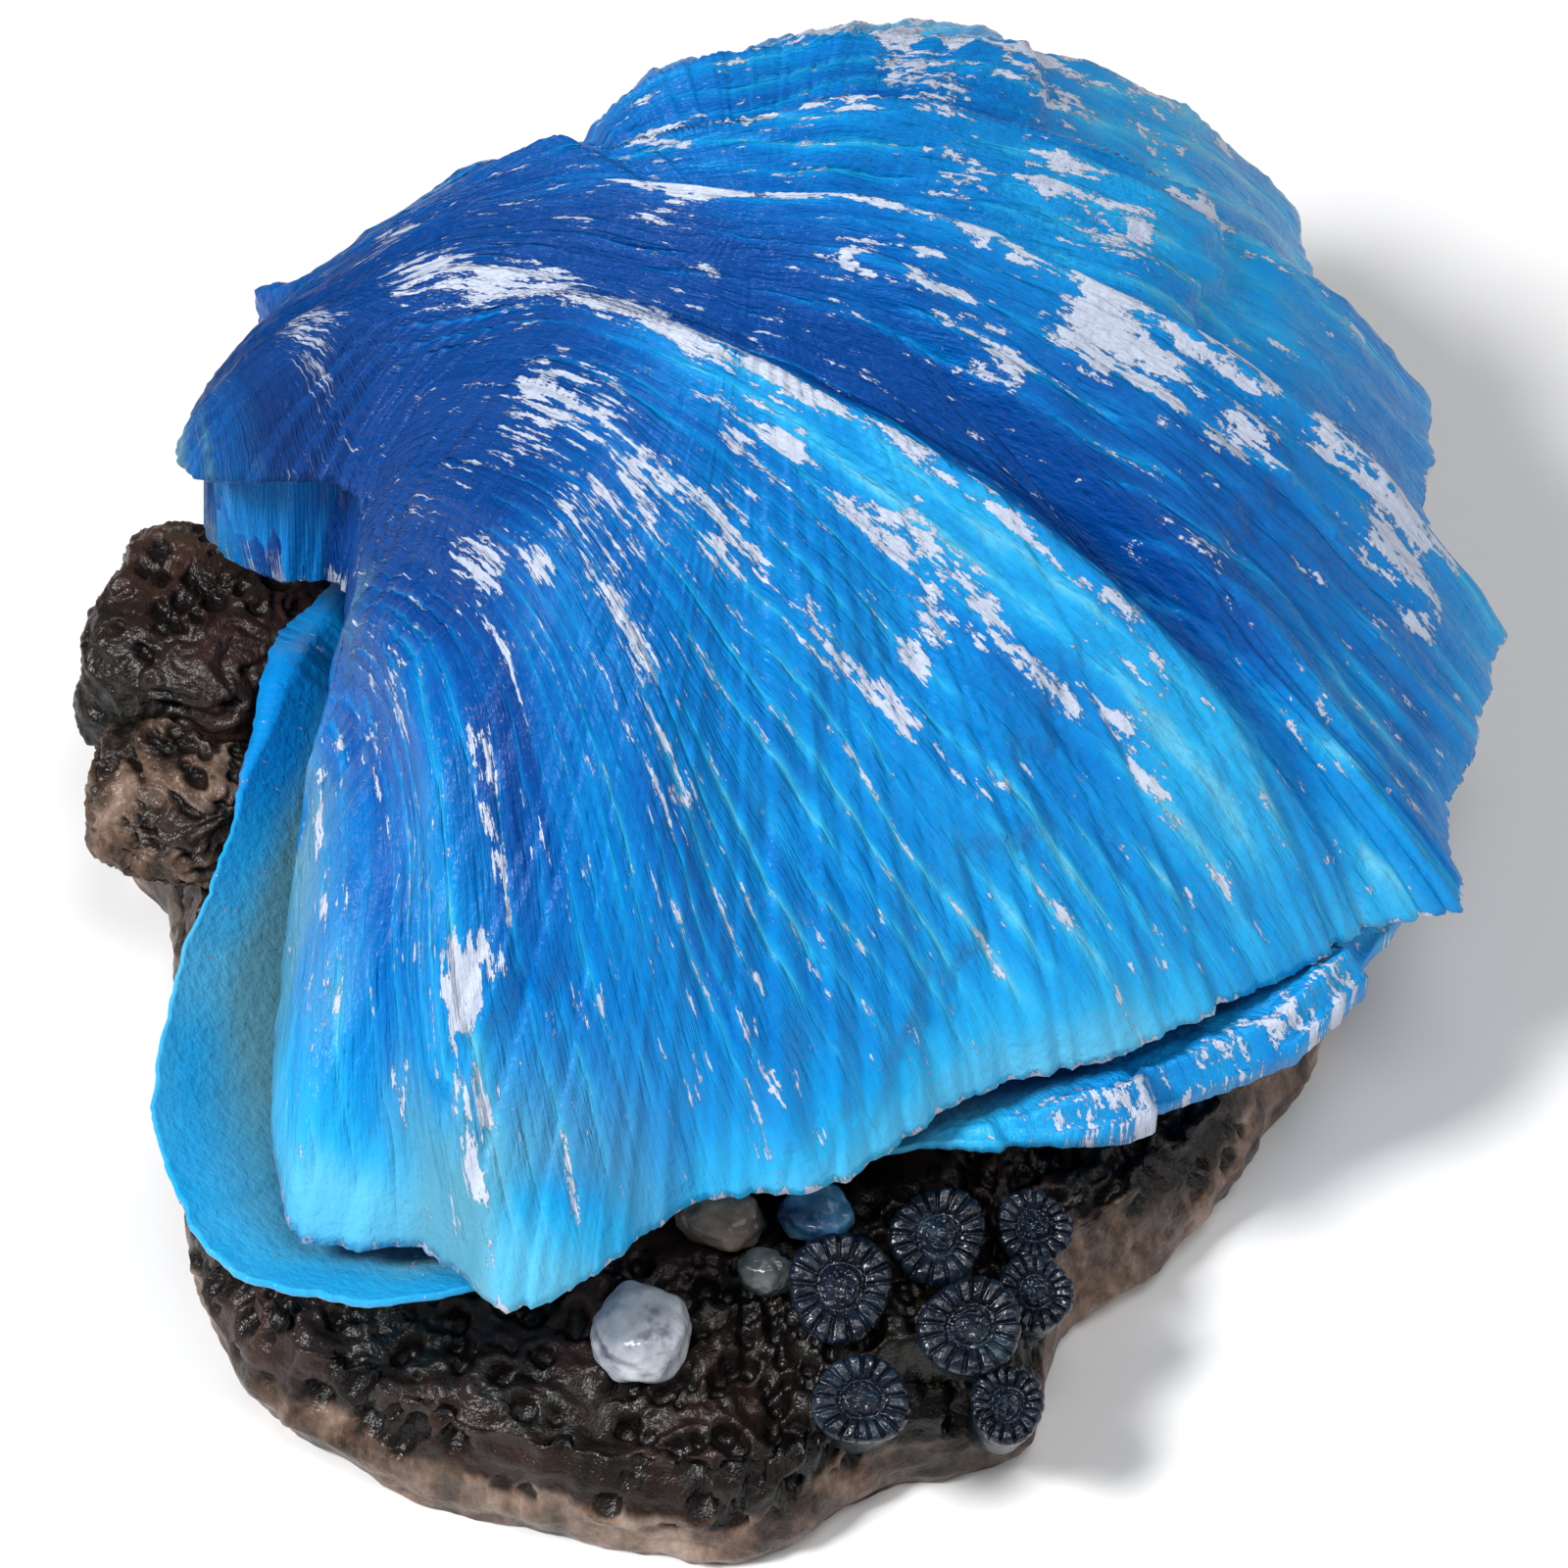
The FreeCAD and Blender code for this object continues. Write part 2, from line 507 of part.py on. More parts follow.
def rounded_stone(centre, radii):
    ball = Part.makeSphere(1.0)
    stretch = FreeCAD.Matrix()
    stretch.scale(*radii)
    stone = ball.transformGeometry(stretch)
    stone.translate(Vector(*centre))
    return stone


os.makedirs("parts", exist_ok=True)
bowl = lower_valve()
lid = upper_valve()
set_pieces = {name: boulder(*shape) for name, shape in BOULDERS.items()}
set_pieces["rear_boulder_upper"] = fitted(
    set_pieces["rear_boulder_upper"], set_pieces["rear_boulder_lower"])
for number, polyp in enumerate(POLYPS, 1):
    set_pieces["button_polyp_%d" % number] = button_polyp(*polyp)
set_pieces["white_pebble"] = rounded_stone(PEBBLE, PEBBLE_RADII)
for name, (centre, radii) in CORALS.items():
    set_pieces[name] = rounded_stone(centre, radii)
rock = rock_base()
for name, piece in set_pieces.items():
    rock = fitted(rock, piece)
    save(name, piece)
save("rock_base", rock)
save("lower_valve", bowl)
save("upper_valve", lid)
save_hinge(bowl, lid)
save("air_tube", air_tube())
save("air_inlet_nipple", air_inlet_nipple())
save("air_nozzle", fitted(air_nozzle(), bowl))
save("air_cup", fitted(air_cup(), lid))
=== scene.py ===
"""Looks of the bubbling giant clam: painted shell, porous rock, button polyps and small stones.

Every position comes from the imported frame. The shapes of the two valves and of the rock repeat
the driving dimensions of the CAD model, in millimetres, at a finer step and with the relief that
the castings have. MM turns them into metres when a mesh is made.
"""

import math

import bpy
import numpy as np
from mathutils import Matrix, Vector, kdtree, noise


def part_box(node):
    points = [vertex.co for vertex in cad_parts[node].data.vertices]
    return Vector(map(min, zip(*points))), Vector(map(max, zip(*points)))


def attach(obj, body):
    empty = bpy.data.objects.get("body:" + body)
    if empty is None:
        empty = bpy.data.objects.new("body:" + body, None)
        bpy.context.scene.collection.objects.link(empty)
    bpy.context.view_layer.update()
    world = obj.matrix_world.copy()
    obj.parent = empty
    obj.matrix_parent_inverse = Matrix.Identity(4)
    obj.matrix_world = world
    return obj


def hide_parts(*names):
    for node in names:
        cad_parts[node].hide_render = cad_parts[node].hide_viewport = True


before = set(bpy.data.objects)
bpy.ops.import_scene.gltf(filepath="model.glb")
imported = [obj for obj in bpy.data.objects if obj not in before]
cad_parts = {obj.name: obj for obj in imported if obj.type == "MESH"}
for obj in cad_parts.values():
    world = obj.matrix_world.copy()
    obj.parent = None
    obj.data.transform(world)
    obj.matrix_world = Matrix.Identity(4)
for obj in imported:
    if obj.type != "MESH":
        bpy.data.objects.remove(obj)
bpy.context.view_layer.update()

MM = 0.001

# -------------------------- driving dimensions (mm)
CAMERA_AZIMUTH = -68.0
CAMERA_ELEVATION = 52.0
CAMERA_DISTANCE = 450.0
CAMERA_TARGET = (0.0, 0.0, 18.0)
CAMERA_SPAN = 100.0           # width of the view at the target
SENSOR_WIDTH = 36.0

ROCK_OUTLINE = (
    (-39, 23), (-45, 16), (-47, 6), (-46, -8), (-43, -16), (-37, -20), (-30, -27.5),
    (-22, -27), (-12, -31.5), (0, -34), (14, -34), (28, -31), (39, -23), (44, -12), (45, 2),
    (43, 16), (36, 28), (24, 38), (8, 45), (-4, 45.5), (-10, 42), (-13, 37), (-20, 32.5),
    (-30, 28),
)
ROCK_WALL_HEIGHT = 9.0
ROCK_WALL_BULGE = 1.6
SEAT_HEIGHT = 11.0
SEAT_SHARE = 0.74
REEF_CENTRE = (-32.0, -22.0)
REEF_FLAT = 2.0
REEF_RADIUS = 11.0
REEF_RISE = 3.2
ROCK_LUMP = 0.8
ROCK_LUMP_X = (0.42, 1.0)     # radians per mm, phase
ROCK_LUMP_Y = (0.37, -0.6)
SEAT_BLEND = 0.08

BOWL_LIP = (
    (-9, 30, 25), (-24, 28.5, 24), (-40, 25, 23.5), (-49.5, 17, 23.5), (-49, 8, 22.5),
    (-42.5, 0, 20.5), (-35, -3.5, 17.5), (-26, -12, 17.5), (-21, -23, 18.5), (-14, -31, 18),
    (-5, -37.5, 18.5), (4, -39, 18), (15, -37, 18.5), (26, -33, 18), (36, -26, 19),
    (43, -16, 19), (47, -5, 20), (47.5, 6, 20), (44, 17, 21), (36, 25, 21.5), (22, 28.5, 21),
    (8, 30.5, 21), (-2, 31, 22),
)
BOWL_FLOOR = 14.0
BOWL_RISE = 4.0
BOWL_FOOT_SHARE = 0.60
BOWL_FLARE = 1.35
BOWL_LIP_THICK = 1.7

LID_MARGIN = (
    (-10, 26.5, 25.5), (-26, 22.5, 23.5), (-43, 14.5, 22.5), (-45, 4, 22), (-42, -4, 21.5),
    (-34, -9, 21.5), (-27, -16, 21.5), (-20, -22, 21.5), (-13, -29, 21.5), (-5, -35, 21.5),
    (1, -37.5, 21.5), (5, -44.5, 21.5), (13, -42, 22), (21, -38.5, 22.5), (30, -35, 23),
    (39, -27.5, 24), (48, -17, 26), (53, -6, 30), (51.5, 6, 29.5), (47.5, 17, 27), (38, 25, 26),
    (24, 27, 26.5), (16, 28.5, 27.5), (14, 35, 29.5), (5, 38.5, 30), (-4, 37.5, 29.5),
    (-5, 29, 28),
)
LID_CROWN = (8.0, 5.0, 61.0)
LID_CORE = (8.0, 5.0, 20.0)
LID_WALL = 2.4
LID_UMBO = (-4.0, 38.0)
LID_FRONT_CURVE = (1.8, 0.9)
LID_BACK_CURVE = (2.4, 0.48)
LID_BACK_ANGLE = 110.0
LID_BACK_SPREAD = 3
BEAK_LEAN = (-4.5, 1.2)
BEAK_SIDE = (24.0, 36.0)
BEAK_EDGE = (37.5, 41.5)
RECESS_Y = 28.5
RECESS_REACH = 5.5
RECESS_DEPTH = 2.2
RECESS_SIDE = (-3.0, 3.0)
RECESS_TOP = (37.5, 41.0)
SHOULDER = (20.0, 21.0)
SHOULDER_REACH = 14.0
SHOULDER_RISE = 6.5
SHOULDER_FADE = 4
FOLDS = (
    (-70, 0.0), (-58, 1.5), (-52, -1.5), (-46, 1.9), (-38, -1.5), (-26, 1.3), (-17, -0.6),
    (-8, 0.4), (-3, 0.0), (4, 2.2), (8, -2.4), (20.5, 2.6), (24.5, -2.0), (33.5, 2.2),
    (37.5, -1.6), (45, 2.0), (49, -1.2), (58, 1.8), (63, -0.8), (74, 1.0), (88, 0.0),
)
FOLD_REACH = (4.0, 45.0)      # distances from the umbo over which the folds grow
FOLD_TWIST = 8.5              # how far the folds turn, in degrees, close to the umbo
FOLD_TWIST_REACH = (15.0, 36.0)
FOLD_TWIST_LEFT = (5.0, 35.0)  # angles left of the middle over which the twist grows
FOLD_TWIST_MORE = 0.6         # by this share
FOLD_TWIST_LONGER = 16.0      # and reaches this much further

POLYP_COUNT = 7
POLYP_LEAN = (-0.36, -0.20)
POLYP_HEIGHT = 6.0
POLYP_PETALS = 17
POLYP_SPREAD = 1.36           # radius of a disc as a multiple of its CAD piece
POLYP_SINK = 0.25             # how far a disc sits below the top of its CAD piece


# -------------------------- numbers and noise
def smooth(value, low, high):
    """0 below low, 1 above high, and a smooth step between them."""
    t = np.clip((np.asarray(value, float) - low) / (high - low), 0.0, 1.0)
    return t * t * (3 - 2 * t)


def closed_curve(points, steps):
    """Array of points along a smooth closed curve through the given points."""
    control = np.array(points, float)
    count = len(control)
    position = np.arange(steps) * count / steps
    start = position.astype(int)
    t = (position - start)[:, None]
    before, here, after, beyond = (control[(start + k) % count] for k in (-1, 0, 1, 2))
    return 0.5 * (
        2 * here + (after - before) * t
        + (2 * before - 5 * here + 4 * after - beyond) * t ** 2
        + (3 * here - before - 3 * after + beyond) * t ** 3)


def noise_at(coords, scale=1.0, octaves=1):
    """Smooth noise between about -1 and 1 at each row of coords, which has 2 or 3 columns."""
    flat = np.asarray(coords, float).reshape(-1, np.shape(coords)[-1]) * scale
    if flat.shape[1] == 2:
        flat = np.column_stack([flat, np.zeros(len(flat))])
    if octaves == 1:
        values = [noise.noise(Vector(p)) for p in flat]
    else:
        values = [noise.fractal(Vector(p), 0.9, 2.1, octaves) for p in flat]
    return np.array(values).reshape(np.shape(coords)[:-1])


def unit(vectors):
    """Each vector at a length of 1."""
    return vectors / np.linalg.norm(vectors, axis=-1, keepdims=True)


# -------------------------- meshes
def mesh_object(name, points, faces, attributes=None):
    """Smooth-shaded object from points in millimetres."""
    mesh = bpy.data.meshes.new(name)
    mesh.from_pydata((np.asarray(points) * MM).tolist(), [], faces)
    for key, values in (attributes or {}).items():
        values = np.asarray(values, float)
        kind = "FLOAT" if values.ndim == 1 else "FLOAT_VECTOR"
        field = "value" if values.ndim == 1 else "vector"
        layer = mesh.attributes.new(key, kind, "POINT")
        layer.data.foreach_set(field, values.ravel())
    mesh.validate()
    mesh.polygons.foreach_set("use_smooth", [True] * len(mesh.polygons))
    piece = bpy.data.objects.new(name, mesh)
    bpy.context.collection.objects.link(piece)
    return piece


def ring_faces(rings, steps):
    """Quads between rings of points, each ring closed on itself."""
    ring = np.arange(rings - 1)[:, None] * steps
    here = np.arange(steps)[None, :]
    following = (here + 1) % steps
    corners = [ring + here, ring + following, ring + steps + following, ring + steps + here]
    return np.stack(corners, -1).reshape(-1, 4).tolist()


def ring_solid(name, rings, attributes=None):
    """Closed object from an array of rings, with a single point closing each end."""
    rings = np.asarray(rings)
    count, steps = rings.shape[:2]
    points = rings.reshape(-1, 3)
    faces = ring_faces(count, steps)
    caps = (
        (points[:steps].mean(0), 0, True),
        (points[-steps:].mean(0), (count - 1) * steps, False))
    for centre, first, flip in caps:
        hub = len(points)
        points = np.vstack([points, centre])
        for k in range(steps):
            a, b = first + k, first + (k + 1) % steps
            faces.append((hub, b, a) if flip else (hub, a, b))
    if attributes:
        padded = {}
        for key, values in attributes.items():
            values = np.asarray(values, float)
            values = values.reshape((count * steps,) + values.shape[2:])
            ends = [values[first:first + steps].mean(0) for _, first, _ in caps]
            padded[key] = np.concatenate([values] + [np.array([end]) for end in ends])
        attributes = padded
    return mesh_object(name, points, faces, attributes)


def finish_piece(piece, body, slot, material, *nodes):
    """Everything a new piece needs: its body, its look and what it replaces; the slot argument is not
    used.
    """
    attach(piece, body)
    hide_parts(*nodes)
    piece.data.materials.clear()
    piece.data.materials.append(material)


RIM_WIDTH = 0.35              # of a pit's raised rim, as a share of its radius


def pits(points, centres, radii, depth, rim):
    """Depth in mm at each point of round pits; depth and rim height are shares of the radius."""
    tree = kdtree.KDTree(len(centres))
    for index, centre in enumerate(centres):
        tree.insert(Vector(centre), index)
    tree.balance()
    result = np.zeros(len(points))
    for k, point in enumerate(points):
        deepest = 0.0
        for _, index, distance in tree.find_n(Vector(point), 3):
            share = distance / radii[index]
            if share < 1.0:
                deepest = max(deepest, (1 - share ** 3) * radii[index] * depth)
            elif share < 1 + RIM_WIDTH and deepest == 0.0:
                deepest = -rim * math.sin(math.pi * (share - 1.0) / RIM_WIDTH) * radii[index] * depth
        result[k] = deepest
    return result


# -------------------------- upper valve
LID_STEPS = 880
LID_RINGS = 88
LID_RIM_WALL = 0.8            # wall thickness at the very margin
FINE_RIBLET_ANGLE = 1.9       # degrees from one fine riblet to the next
FINE_RIBLET_HEIGHT = 0.34
RIBLET_ANGLE = 3.6            # degrees between riblets on the lower part of the shell
RIBLET_HEIGHT = 0.30
SPUR = (6.0, 35.5)            # small point at the back of the beak, seen from above
SPUR_WIDTH = 1.3
SPUR_HEIGHT = 2.8
LEDGES = (                    # growth ledges: angle, reach, half width in degrees, height
    (-20, 57, 30, 0.5), (12, 66, 14, 0.4), (30, 63, 7, 0.9), (46, 55, 8, 0.5),
    (-44, 46, 7, 0.6), (-14, 47, 12, 0.35), (-30, 63, 16, 0.45), (58, 60, 10, 0.5),
)


def fan_coords(x, y):
    """Angle in degrees and distance in mm about the umbo, with the ribs' twist taken out."""
    dx, dy = x - LID_UMBO[0], LID_UMBO[1] - y
    angle, reach = np.degrees(np.arctan2(dx, dy)), np.hypot(dx, dy)
    left = smooth(-angle, *FOLD_TWIST_LEFT)
    start, end = FOLD_TWIST_REACH
    twist = FOLD_TWIST * (1 + FOLD_TWIST_MORE * left)
    return angle - twist * (1 - smooth(reach, start, end + FOLD_TWIST_LONGER * left)), reach


def fold_height(angle, reach):
    """Height of the folds, which have sharp crests and round furrows."""
    angles, heights = (np.array(column) for column in zip(*FOLDS))
    position = np.interp(angle, angles, np.arange(len(angles)))
    index = np.clip(position.astype(int), 0, len(angles) - 2)
    share = position - index
    start, end = heights[index], heights[index + 1]
    share = np.where(start > end, 1 - share, share)
    low, high = np.minimum(start, end), np.maximum(start, end)
    height = low + (high - low) * share ** 2 * (2 - share)
    return height * smooth(reach, *FOLD_REACH)


def moved_from_core(points, distance):
    """Points moved straight away from the core of the upper valve."""
    return points + unit(points - np.array(LID_CORE)) * distance[..., None]


def lid_shape(margins, shares):
    """Outer skin of the upper valve before its folds: rings from the crown to the margin."""
    crown = np.array(LID_CROWN)
    share = shares[:, None]
    plan = crown[:2] + (margins[None, :, :2] - crown[:2]) * share[..., None]
    away = np.arctan2(margins[:, 1] - crown[1], margins[:, 0] - crown[0])
    back = np.maximum(0.0, np.cos(away - math.radians(LID_BACK_ANGLE))) ** LID_BACK_SPREAD
    power, shape = (f + (b - f) * back for f, b in zip(LID_FRONT_CURVE, LID_BACK_CURVE))
    z = margins[:, 2] + (crown[2] - margins[:, 2]) * (1 - share ** power) ** shape
    off = np.hypot(plan[..., 0] - SHOULDER[0], plan[..., 1] - SHOULDER[1])
    z += SHOULDER_RISE * (1 - smooth(off, 0.0, SHOULDER_REACH)) * (1 - share ** SHOULDER_FADE)
    lean = smooth(plan[..., 1], *BEAK_SIDE) * smooth(z, *BEAK_EDGE)
    recess = 1 - smooth(np.abs(plan[..., 1] - RECESS_Y), 0.0, RECESS_REACH)
    recess *= (1 - smooth(z, *RECESS_TOP)) * (1 - smooth(plan[..., 0], *RECESS_SIDE))
    return np.stack([
        plan[..., 0] + BEAK_LEAN[0] * lean + RECESS_DEPTH * recess,
        plan[..., 1] + BEAK_LEAN[1] * lean, z], -1)


def ridge_lines(position):
    """Thin crests at whole numbers, each line with its own height from 0.3 to 1."""
    line = np.floor(position + 0.5)
    height = 0.3 + 0.7 * np.abs(np.sin(line * 12.9898) * 43758.5453 % 1.0)
    return height * np.exp(-((position - line) / 0.27) ** 2)


def riblets(angle, reach):
    """Ridges that run down the shell: uneven, twice as many below as above."""
    drift = noise_at(np.stack([angle * 0.10, reach * 0.06], -1), 1.0, 2) * 0.8
    above = ridge_lines((angle + drift) / (2 * RIBLET_ANGLE))
    below = ridge_lines((angle + drift) / RIBLET_ANGLE + 0.4)
    patchy = noise_at(np.stack([angle * 0.09, reach * 0.05], -1) + 9.0, 1.0, 2)
    strength = 0.35 + 0.65 * smooth(patchy, -0.25, 0.35)
    mix = smooth(reach, 26.0, 46.0)
    return (above * (1 - mix) + below * mix) * strength * smooth(reach, 6.0, 24.0)


def fine_riblets(angle, reach):
    """Count of fine riblets from the middle of the shell, with a slow drift."""
    drift = noise_at(np.stack([angle * 0.08, reach * 0.07], -1) + 2.0, 1.0, 2)
    return (angle + 1.6 * drift) / FINE_RIBLET_ANGLE


def fine_relief(count, angle, reach):
    """Height of the fine riblets, which the mesh can only carry where they have spread out."""
    crest = (0.5 - 0.5 * np.cos(2 * math.pi * count)) ** 1.5
    patchy = noise_at(np.stack([angle * 0.11, reach * 0.06], -1) + 15.0, 1.0, 2)
    patchy = 0.15 + 0.85 * smooth(patchy, -0.2, 0.3)
    return FINE_RIBLET_HEIGHT * crest * patchy * smooth(reach, 28.0, 44.0)


def growth_ledges(angle, reach):
    """Short steps across the shell where it stopped growing, with torn edges."""
    tear = noise_at(np.stack([angle * 0.35, reach * 0.05], -1), 1.0, 3) * 2.2
    total = np.zeros_like(reach)
    for centre, distance, wide, height in LEDGES:
        across = 1 - smooth(np.abs(angle - centre), 0.5 * wide, wide)
        past = reach + tear - distance
        total += height * across * smooth(past, -9.0, 0.0) * (1 - smooth(past, 0.0, 0.8))
    return total


def make_upper_valve():
    margins = closed_curve(LID_MARGIN, LID_STEPS)
    turn = np.arange(LID_STEPS) * 2 * math.pi / LID_STEPS
    circle = np.stack([np.cos(turn), np.sin(turn)], -1)
    ragged = noise_at(circle, 20.0, 3) * 0.55 + noise_at(circle, 75.0) * 0.25
    margins[:, :2] += unit(margins[:, :2] - np.array(LID_CROWN[:2])) * ragged[:, None]
    k = np.arange(1, LID_RINGS + 1) / LID_RINGS
    shares = 0.5 * k + 0.5 * np.sin(0.5 * math.pi * k)
    base = lid_shape(margins, shares)
    share = np.repeat(shares[:, None], LID_STEPS, 1)
    angle, reach = fan_coords(base[..., 0], base[..., 1])
    fold = fold_height(angle, reach)
    ridge = riblets(angle, reach)
    lumps = noise_at(base, 0.10, 2) * 0.55
    brush = noise_at(np.stack([angle * 0.55, reach * 0.16], -1), 1.0, 3) * 0.22
    ledges = growth_ledges(angle, reach)
    fade = 1 - 0.75 * smooth(share, 0.93, 1.0)
    maps = paint_maps(angle, reach, fold, share)
    relief = fine_relief(maps["riblet"], angle, reach) * (1 - 0.8 * maps["calm"])
    fine = (RIBLET_HEIGHT * ridge + brush + relief) * fade
    off = np.linalg.norm(base[..., :2] - np.array(SPUR), axis=-1)
    spur = SPUR_HEIGHT * np.exp(-(off / SPUR_WIDTH) ** 2)
    outer = moved_from_core(base, fold + fine + lumps + ledges + spur)
    wall = LID_WALL + (LID_RIM_WALL - LID_WALL) * smooth(share, 0.86, 1.0)
    inner = moved_from_core(base, fold + lumps - wall)
    pick = np.concatenate([np.arange(0, LID_RINGS - 1, 9), [LID_RINGS - 1]])[::-1]
    lip = outer[-1] * 0.5 + inner[-1] * 0.5 - np.array([0, 0, 0.25])
    rings = np.concatenate([outer, lip[None], inner[pick]])
    rows = np.concatenate([np.arange(LID_RINGS), [LID_RINGS - 1], pick])
    maps["ridge"] = ridge * fade
    maps["ribbed"] = smooth(reach, 8.0, 20.0) * (1 - 0.6 * smooth(share, 0.95, 1.0))
    maps["ribbed"] *= 1 - 0.8 * maps["calm"]
    # Painted shade on the wall under the beak. Its low back part gets painted light instead, and no
    # white goes there.
    painted_shade_under_beak = smooth(base[..., 1], 25.0, 28.0) * (1 - smooth(base[..., 2], 38.0, 41.0))
    painted_shade_under_beak *= 1 - smooth(base[..., 0], 0.0, 4.0)
    lit = smooth(base[..., 1], 32.0, 37.5) * (1 - smooth(base[..., 2], 30.0, 38.0))
    maps["tone"] += painted_shade_under_beak * (0.55 * lit - 0.40)
    maps["white"] *= 1 - painted_shade_under_beak
    maps["white"] += 0.45 * smooth(share, 0.995, 1.0)
    attributes = {key: values[rows] for key, values in maps.items()}
    attributes["tone"][LID_RINGS + 1:] = 0.40
    for key in ("white", "ridge"):
        attributes[key][LID_RINGS + 1:] = 0.0
    return ring_solid("clam_upper_valve", rings, attributes)


# -------------------------- lower valve
BOWL_STEPS = 760
SCALLOPS = 3.6                # scallops of the front lip per radian round the bowl
LIP_ROUNDING = 2.8            # how far the rim of the front lip turns down
LIP_CREST = (1.3, 0.8)        # height of the front lip's crest, and more of it on a scallop
LIP_LIFT = 0.9                # rise of the lip towards the rim of the upper valve
LIP_LIFT_TURN = -1.80         # direction of that rise from the middle, in radians
HINGE_SWELLING = (1.74, 0.24, 4.6)  # direction in radians, half width, how far it stands out


def bowl_scallops(turn):
    """Overlapping scallops along the front of the lip: each rises slowly and ends in a step."""
    front = smooth(np.cos(turn + 1.30), 0.35, 0.75)
    phase = turn * SCALLOPS + 0.35 * np.sin(5 * turn)
    saw = phase - np.floor(phase)
    return front, smooth(saw, 0.0, 0.7) * (1 - smooth(saw, 0.88, 1.0))


def make_lower_valve():
    lips = closed_curve(BOWL_LIP, BOWL_STEPS)
    turn = np.arctan2(lips[:, 1], lips[:, 0])
    front, scallop = bowl_scallops(turn)
    circle = np.stack([np.cos(turn), np.sin(turn)], -1)
    ragged = noise_at(circle, 7.0, 2) * 0.5 + noise_at(circle, 42.0, 2) * 0.22
    outward = unit(lips[:, :2])
    lips[:, :2] += outward * (ragged + front * (1.5 * scallop - 0.3))[:, None]
    lips[:, 2] += front * (0.9 * scallop - 0.2) + noise_at(circle, 6.0) * 0.3
    lips[:, 2] += LIP_LIFT * smooth(np.cos(turn - LIP_LIFT_TURN), 0.60, 0.97)

    inside_shares = np.concatenate([np.linspace(0.04, 0.7, 12), np.linspace(0.71, 1.0, 40)])
    share = inside_shares[:, None]
    x, y = lips[None, :, 0] * share, lips[None, :, 1] * share
    z = BOWL_FLOOR + (lips[None, :, 2] - BOWL_FLOOR) * share ** BOWL_RISE
    rounding = smooth(share, 0.955, 1.0)
    wrinkle = noise_at(np.stack([
        np.broadcast_to(turn * 11.0, x.shape), np.broadcast_to(share * 34.0, x.shape)], -1), 1.0, 3)
    crest = smooth(share, 0.78, 0.88) * (LIP_CREST[0] + LIP_CREST[1] * scallop[None, :])
    z = z + front * (crest - LIP_ROUNDING * rounding)
    z += front * 0.55 * wrinkle * smooth(share, 0.88, 0.94)
    inside = np.stack([x, y, z], -1)

    outside_shares = np.concatenate([
        np.linspace(0.998, 0.93, 14), np.linspace(0.92, BOWL_FOOT_SHARE, 24)])
    share = outside_shares[:, None]
    rise = ((share - BOWL_FOOT_SHARE) / (1 - BOWL_FOOT_SHARE)) ** BOWL_FLARE
    thin = 0.7 + (BOWL_LIP_THICK - 0.7) * (1 - smooth(share, 0.93, 1.0))
    under_roll = front[None, :] * (2.0 + 0.4 * scallop[None, :]) * smooth(share, 0.80, 1.0)
    centre, half, stand = HINGE_SWELLING
    swelling = (1 - smooth(np.abs(turn - centre), 0.0, 2.2 * half))[None, :]
    swelling = stand * swelling * smooth(share, 0.62, 0.80) * (1 - smooth(share, 0.88, 1.02) * 0.6)
    push = 1 + swelling / np.hypot(lips[None, :, 0], lips[None, :, 1])
    z = SEAT_HEIGHT + (lips[None, :, 2] - thin - SEAT_HEIGHT) * rise - under_roll * rise
    z += swelling * 0.7 * smooth(share, 0.62, 0.9)
    outside = np.stack([lips[None, :, 0] * share * push, lips[None, :, 1] * share * push, z], -1)
    ridge = noise_at(np.stack([
        np.broadcast_to(turn * 26.0, z.shape), np.broadcast_to(share * 3.0, z.shape)], -1), 1.0, 2)
    band = smooth(share, 0.62, 0.75) * (1 - smooth(share, 0.93, 0.99))
    outside[..., :2] *= 1 + (0.006 * ridge * band)[..., None]

    rings = np.concatenate([inside, outside])
    shares = np.concatenate([inside_shares, outside_shares])[:, None]
    shares = np.broadcast_to(shares, rings.shape[:2])
    under = np.zeros(rings.shape[:2])
    under[len(inside_shares):] = 1.0
    streak = np.stack([
        np.broadcast_to(28 * np.cos(turn), under.shape),
        np.broadcast_to(28 * np.sin(turn), under.shape), shares * 14.0], -1)
    crest = np.broadcast_to(front * scallop, under.shape)
    front = np.broadcast_to(front, under.shape)
    soft = noise_at(rings, 0.07, 2)
    # Painted shade: the front lip is darker where it lies under the rim of the upper valve, less on
    # the scallops' crests.
    tone = 0.80 + 0.16 * soft - 0.10 * front * smooth(shares, 0.80, 0.90) * (1 - 0.6 * crest)
    # Painted shade: darker round the hinge swelling, which lies under the beak's overhang.
    tone = tone - 0.36 * (1 - smooth(np.abs(turn - HINGE_SWELLING[0]), 0.25, 0.75))[None, :]
    # Painted shade: the outside of the bowl is darker down towards the rock, under its lip.
    tone -= 0.35 * under * (1 - smooth(shares, 0.62, 0.9))
    brushed = smooth(noise_at(np.stack([turn * 3.1, turn * 0], -1)), -0.25, 0.25)[None, :]
    white = 0.02 + front * smooth(shares, 0.90, 0.95) * (0.20 + 0.34 * brushed * (0.4 + crest))
    gutter = (1 - front) * (1 - under) * smooth(shares, 0.55, 0.75) * (1 - smooth(shares, 0.86, 0.96))
    grey = gutter * (1.0 + 0.8 * soft)
    return ring_solid("clam_lower_valve", rings, {
        "streak": streak, "tone": tone, "white": white, "grey": np.clip(grey, 0, 1),
        "calm": 1 - front, "ridge": np.zeros(under.shape)})


# -------------------------- rock
ROCK_STEPS = 860
ROCK_WALL_RINGS = 24
ROCK_TOP_RINGS = 74
ROCK_TOP_INNER = SEAT_SHARE - 0.12  # innermost ring, hidden under the bowl
PORE_COUNT = 2100
PORE_RADIUS = 1.15            # of the widest pores
PORE_DEPTH = 1.25             # as a share of the radius
PORED_WALL_RINGS = 15         # rings of the wall that have pores as well
ROCK_SEED = 11


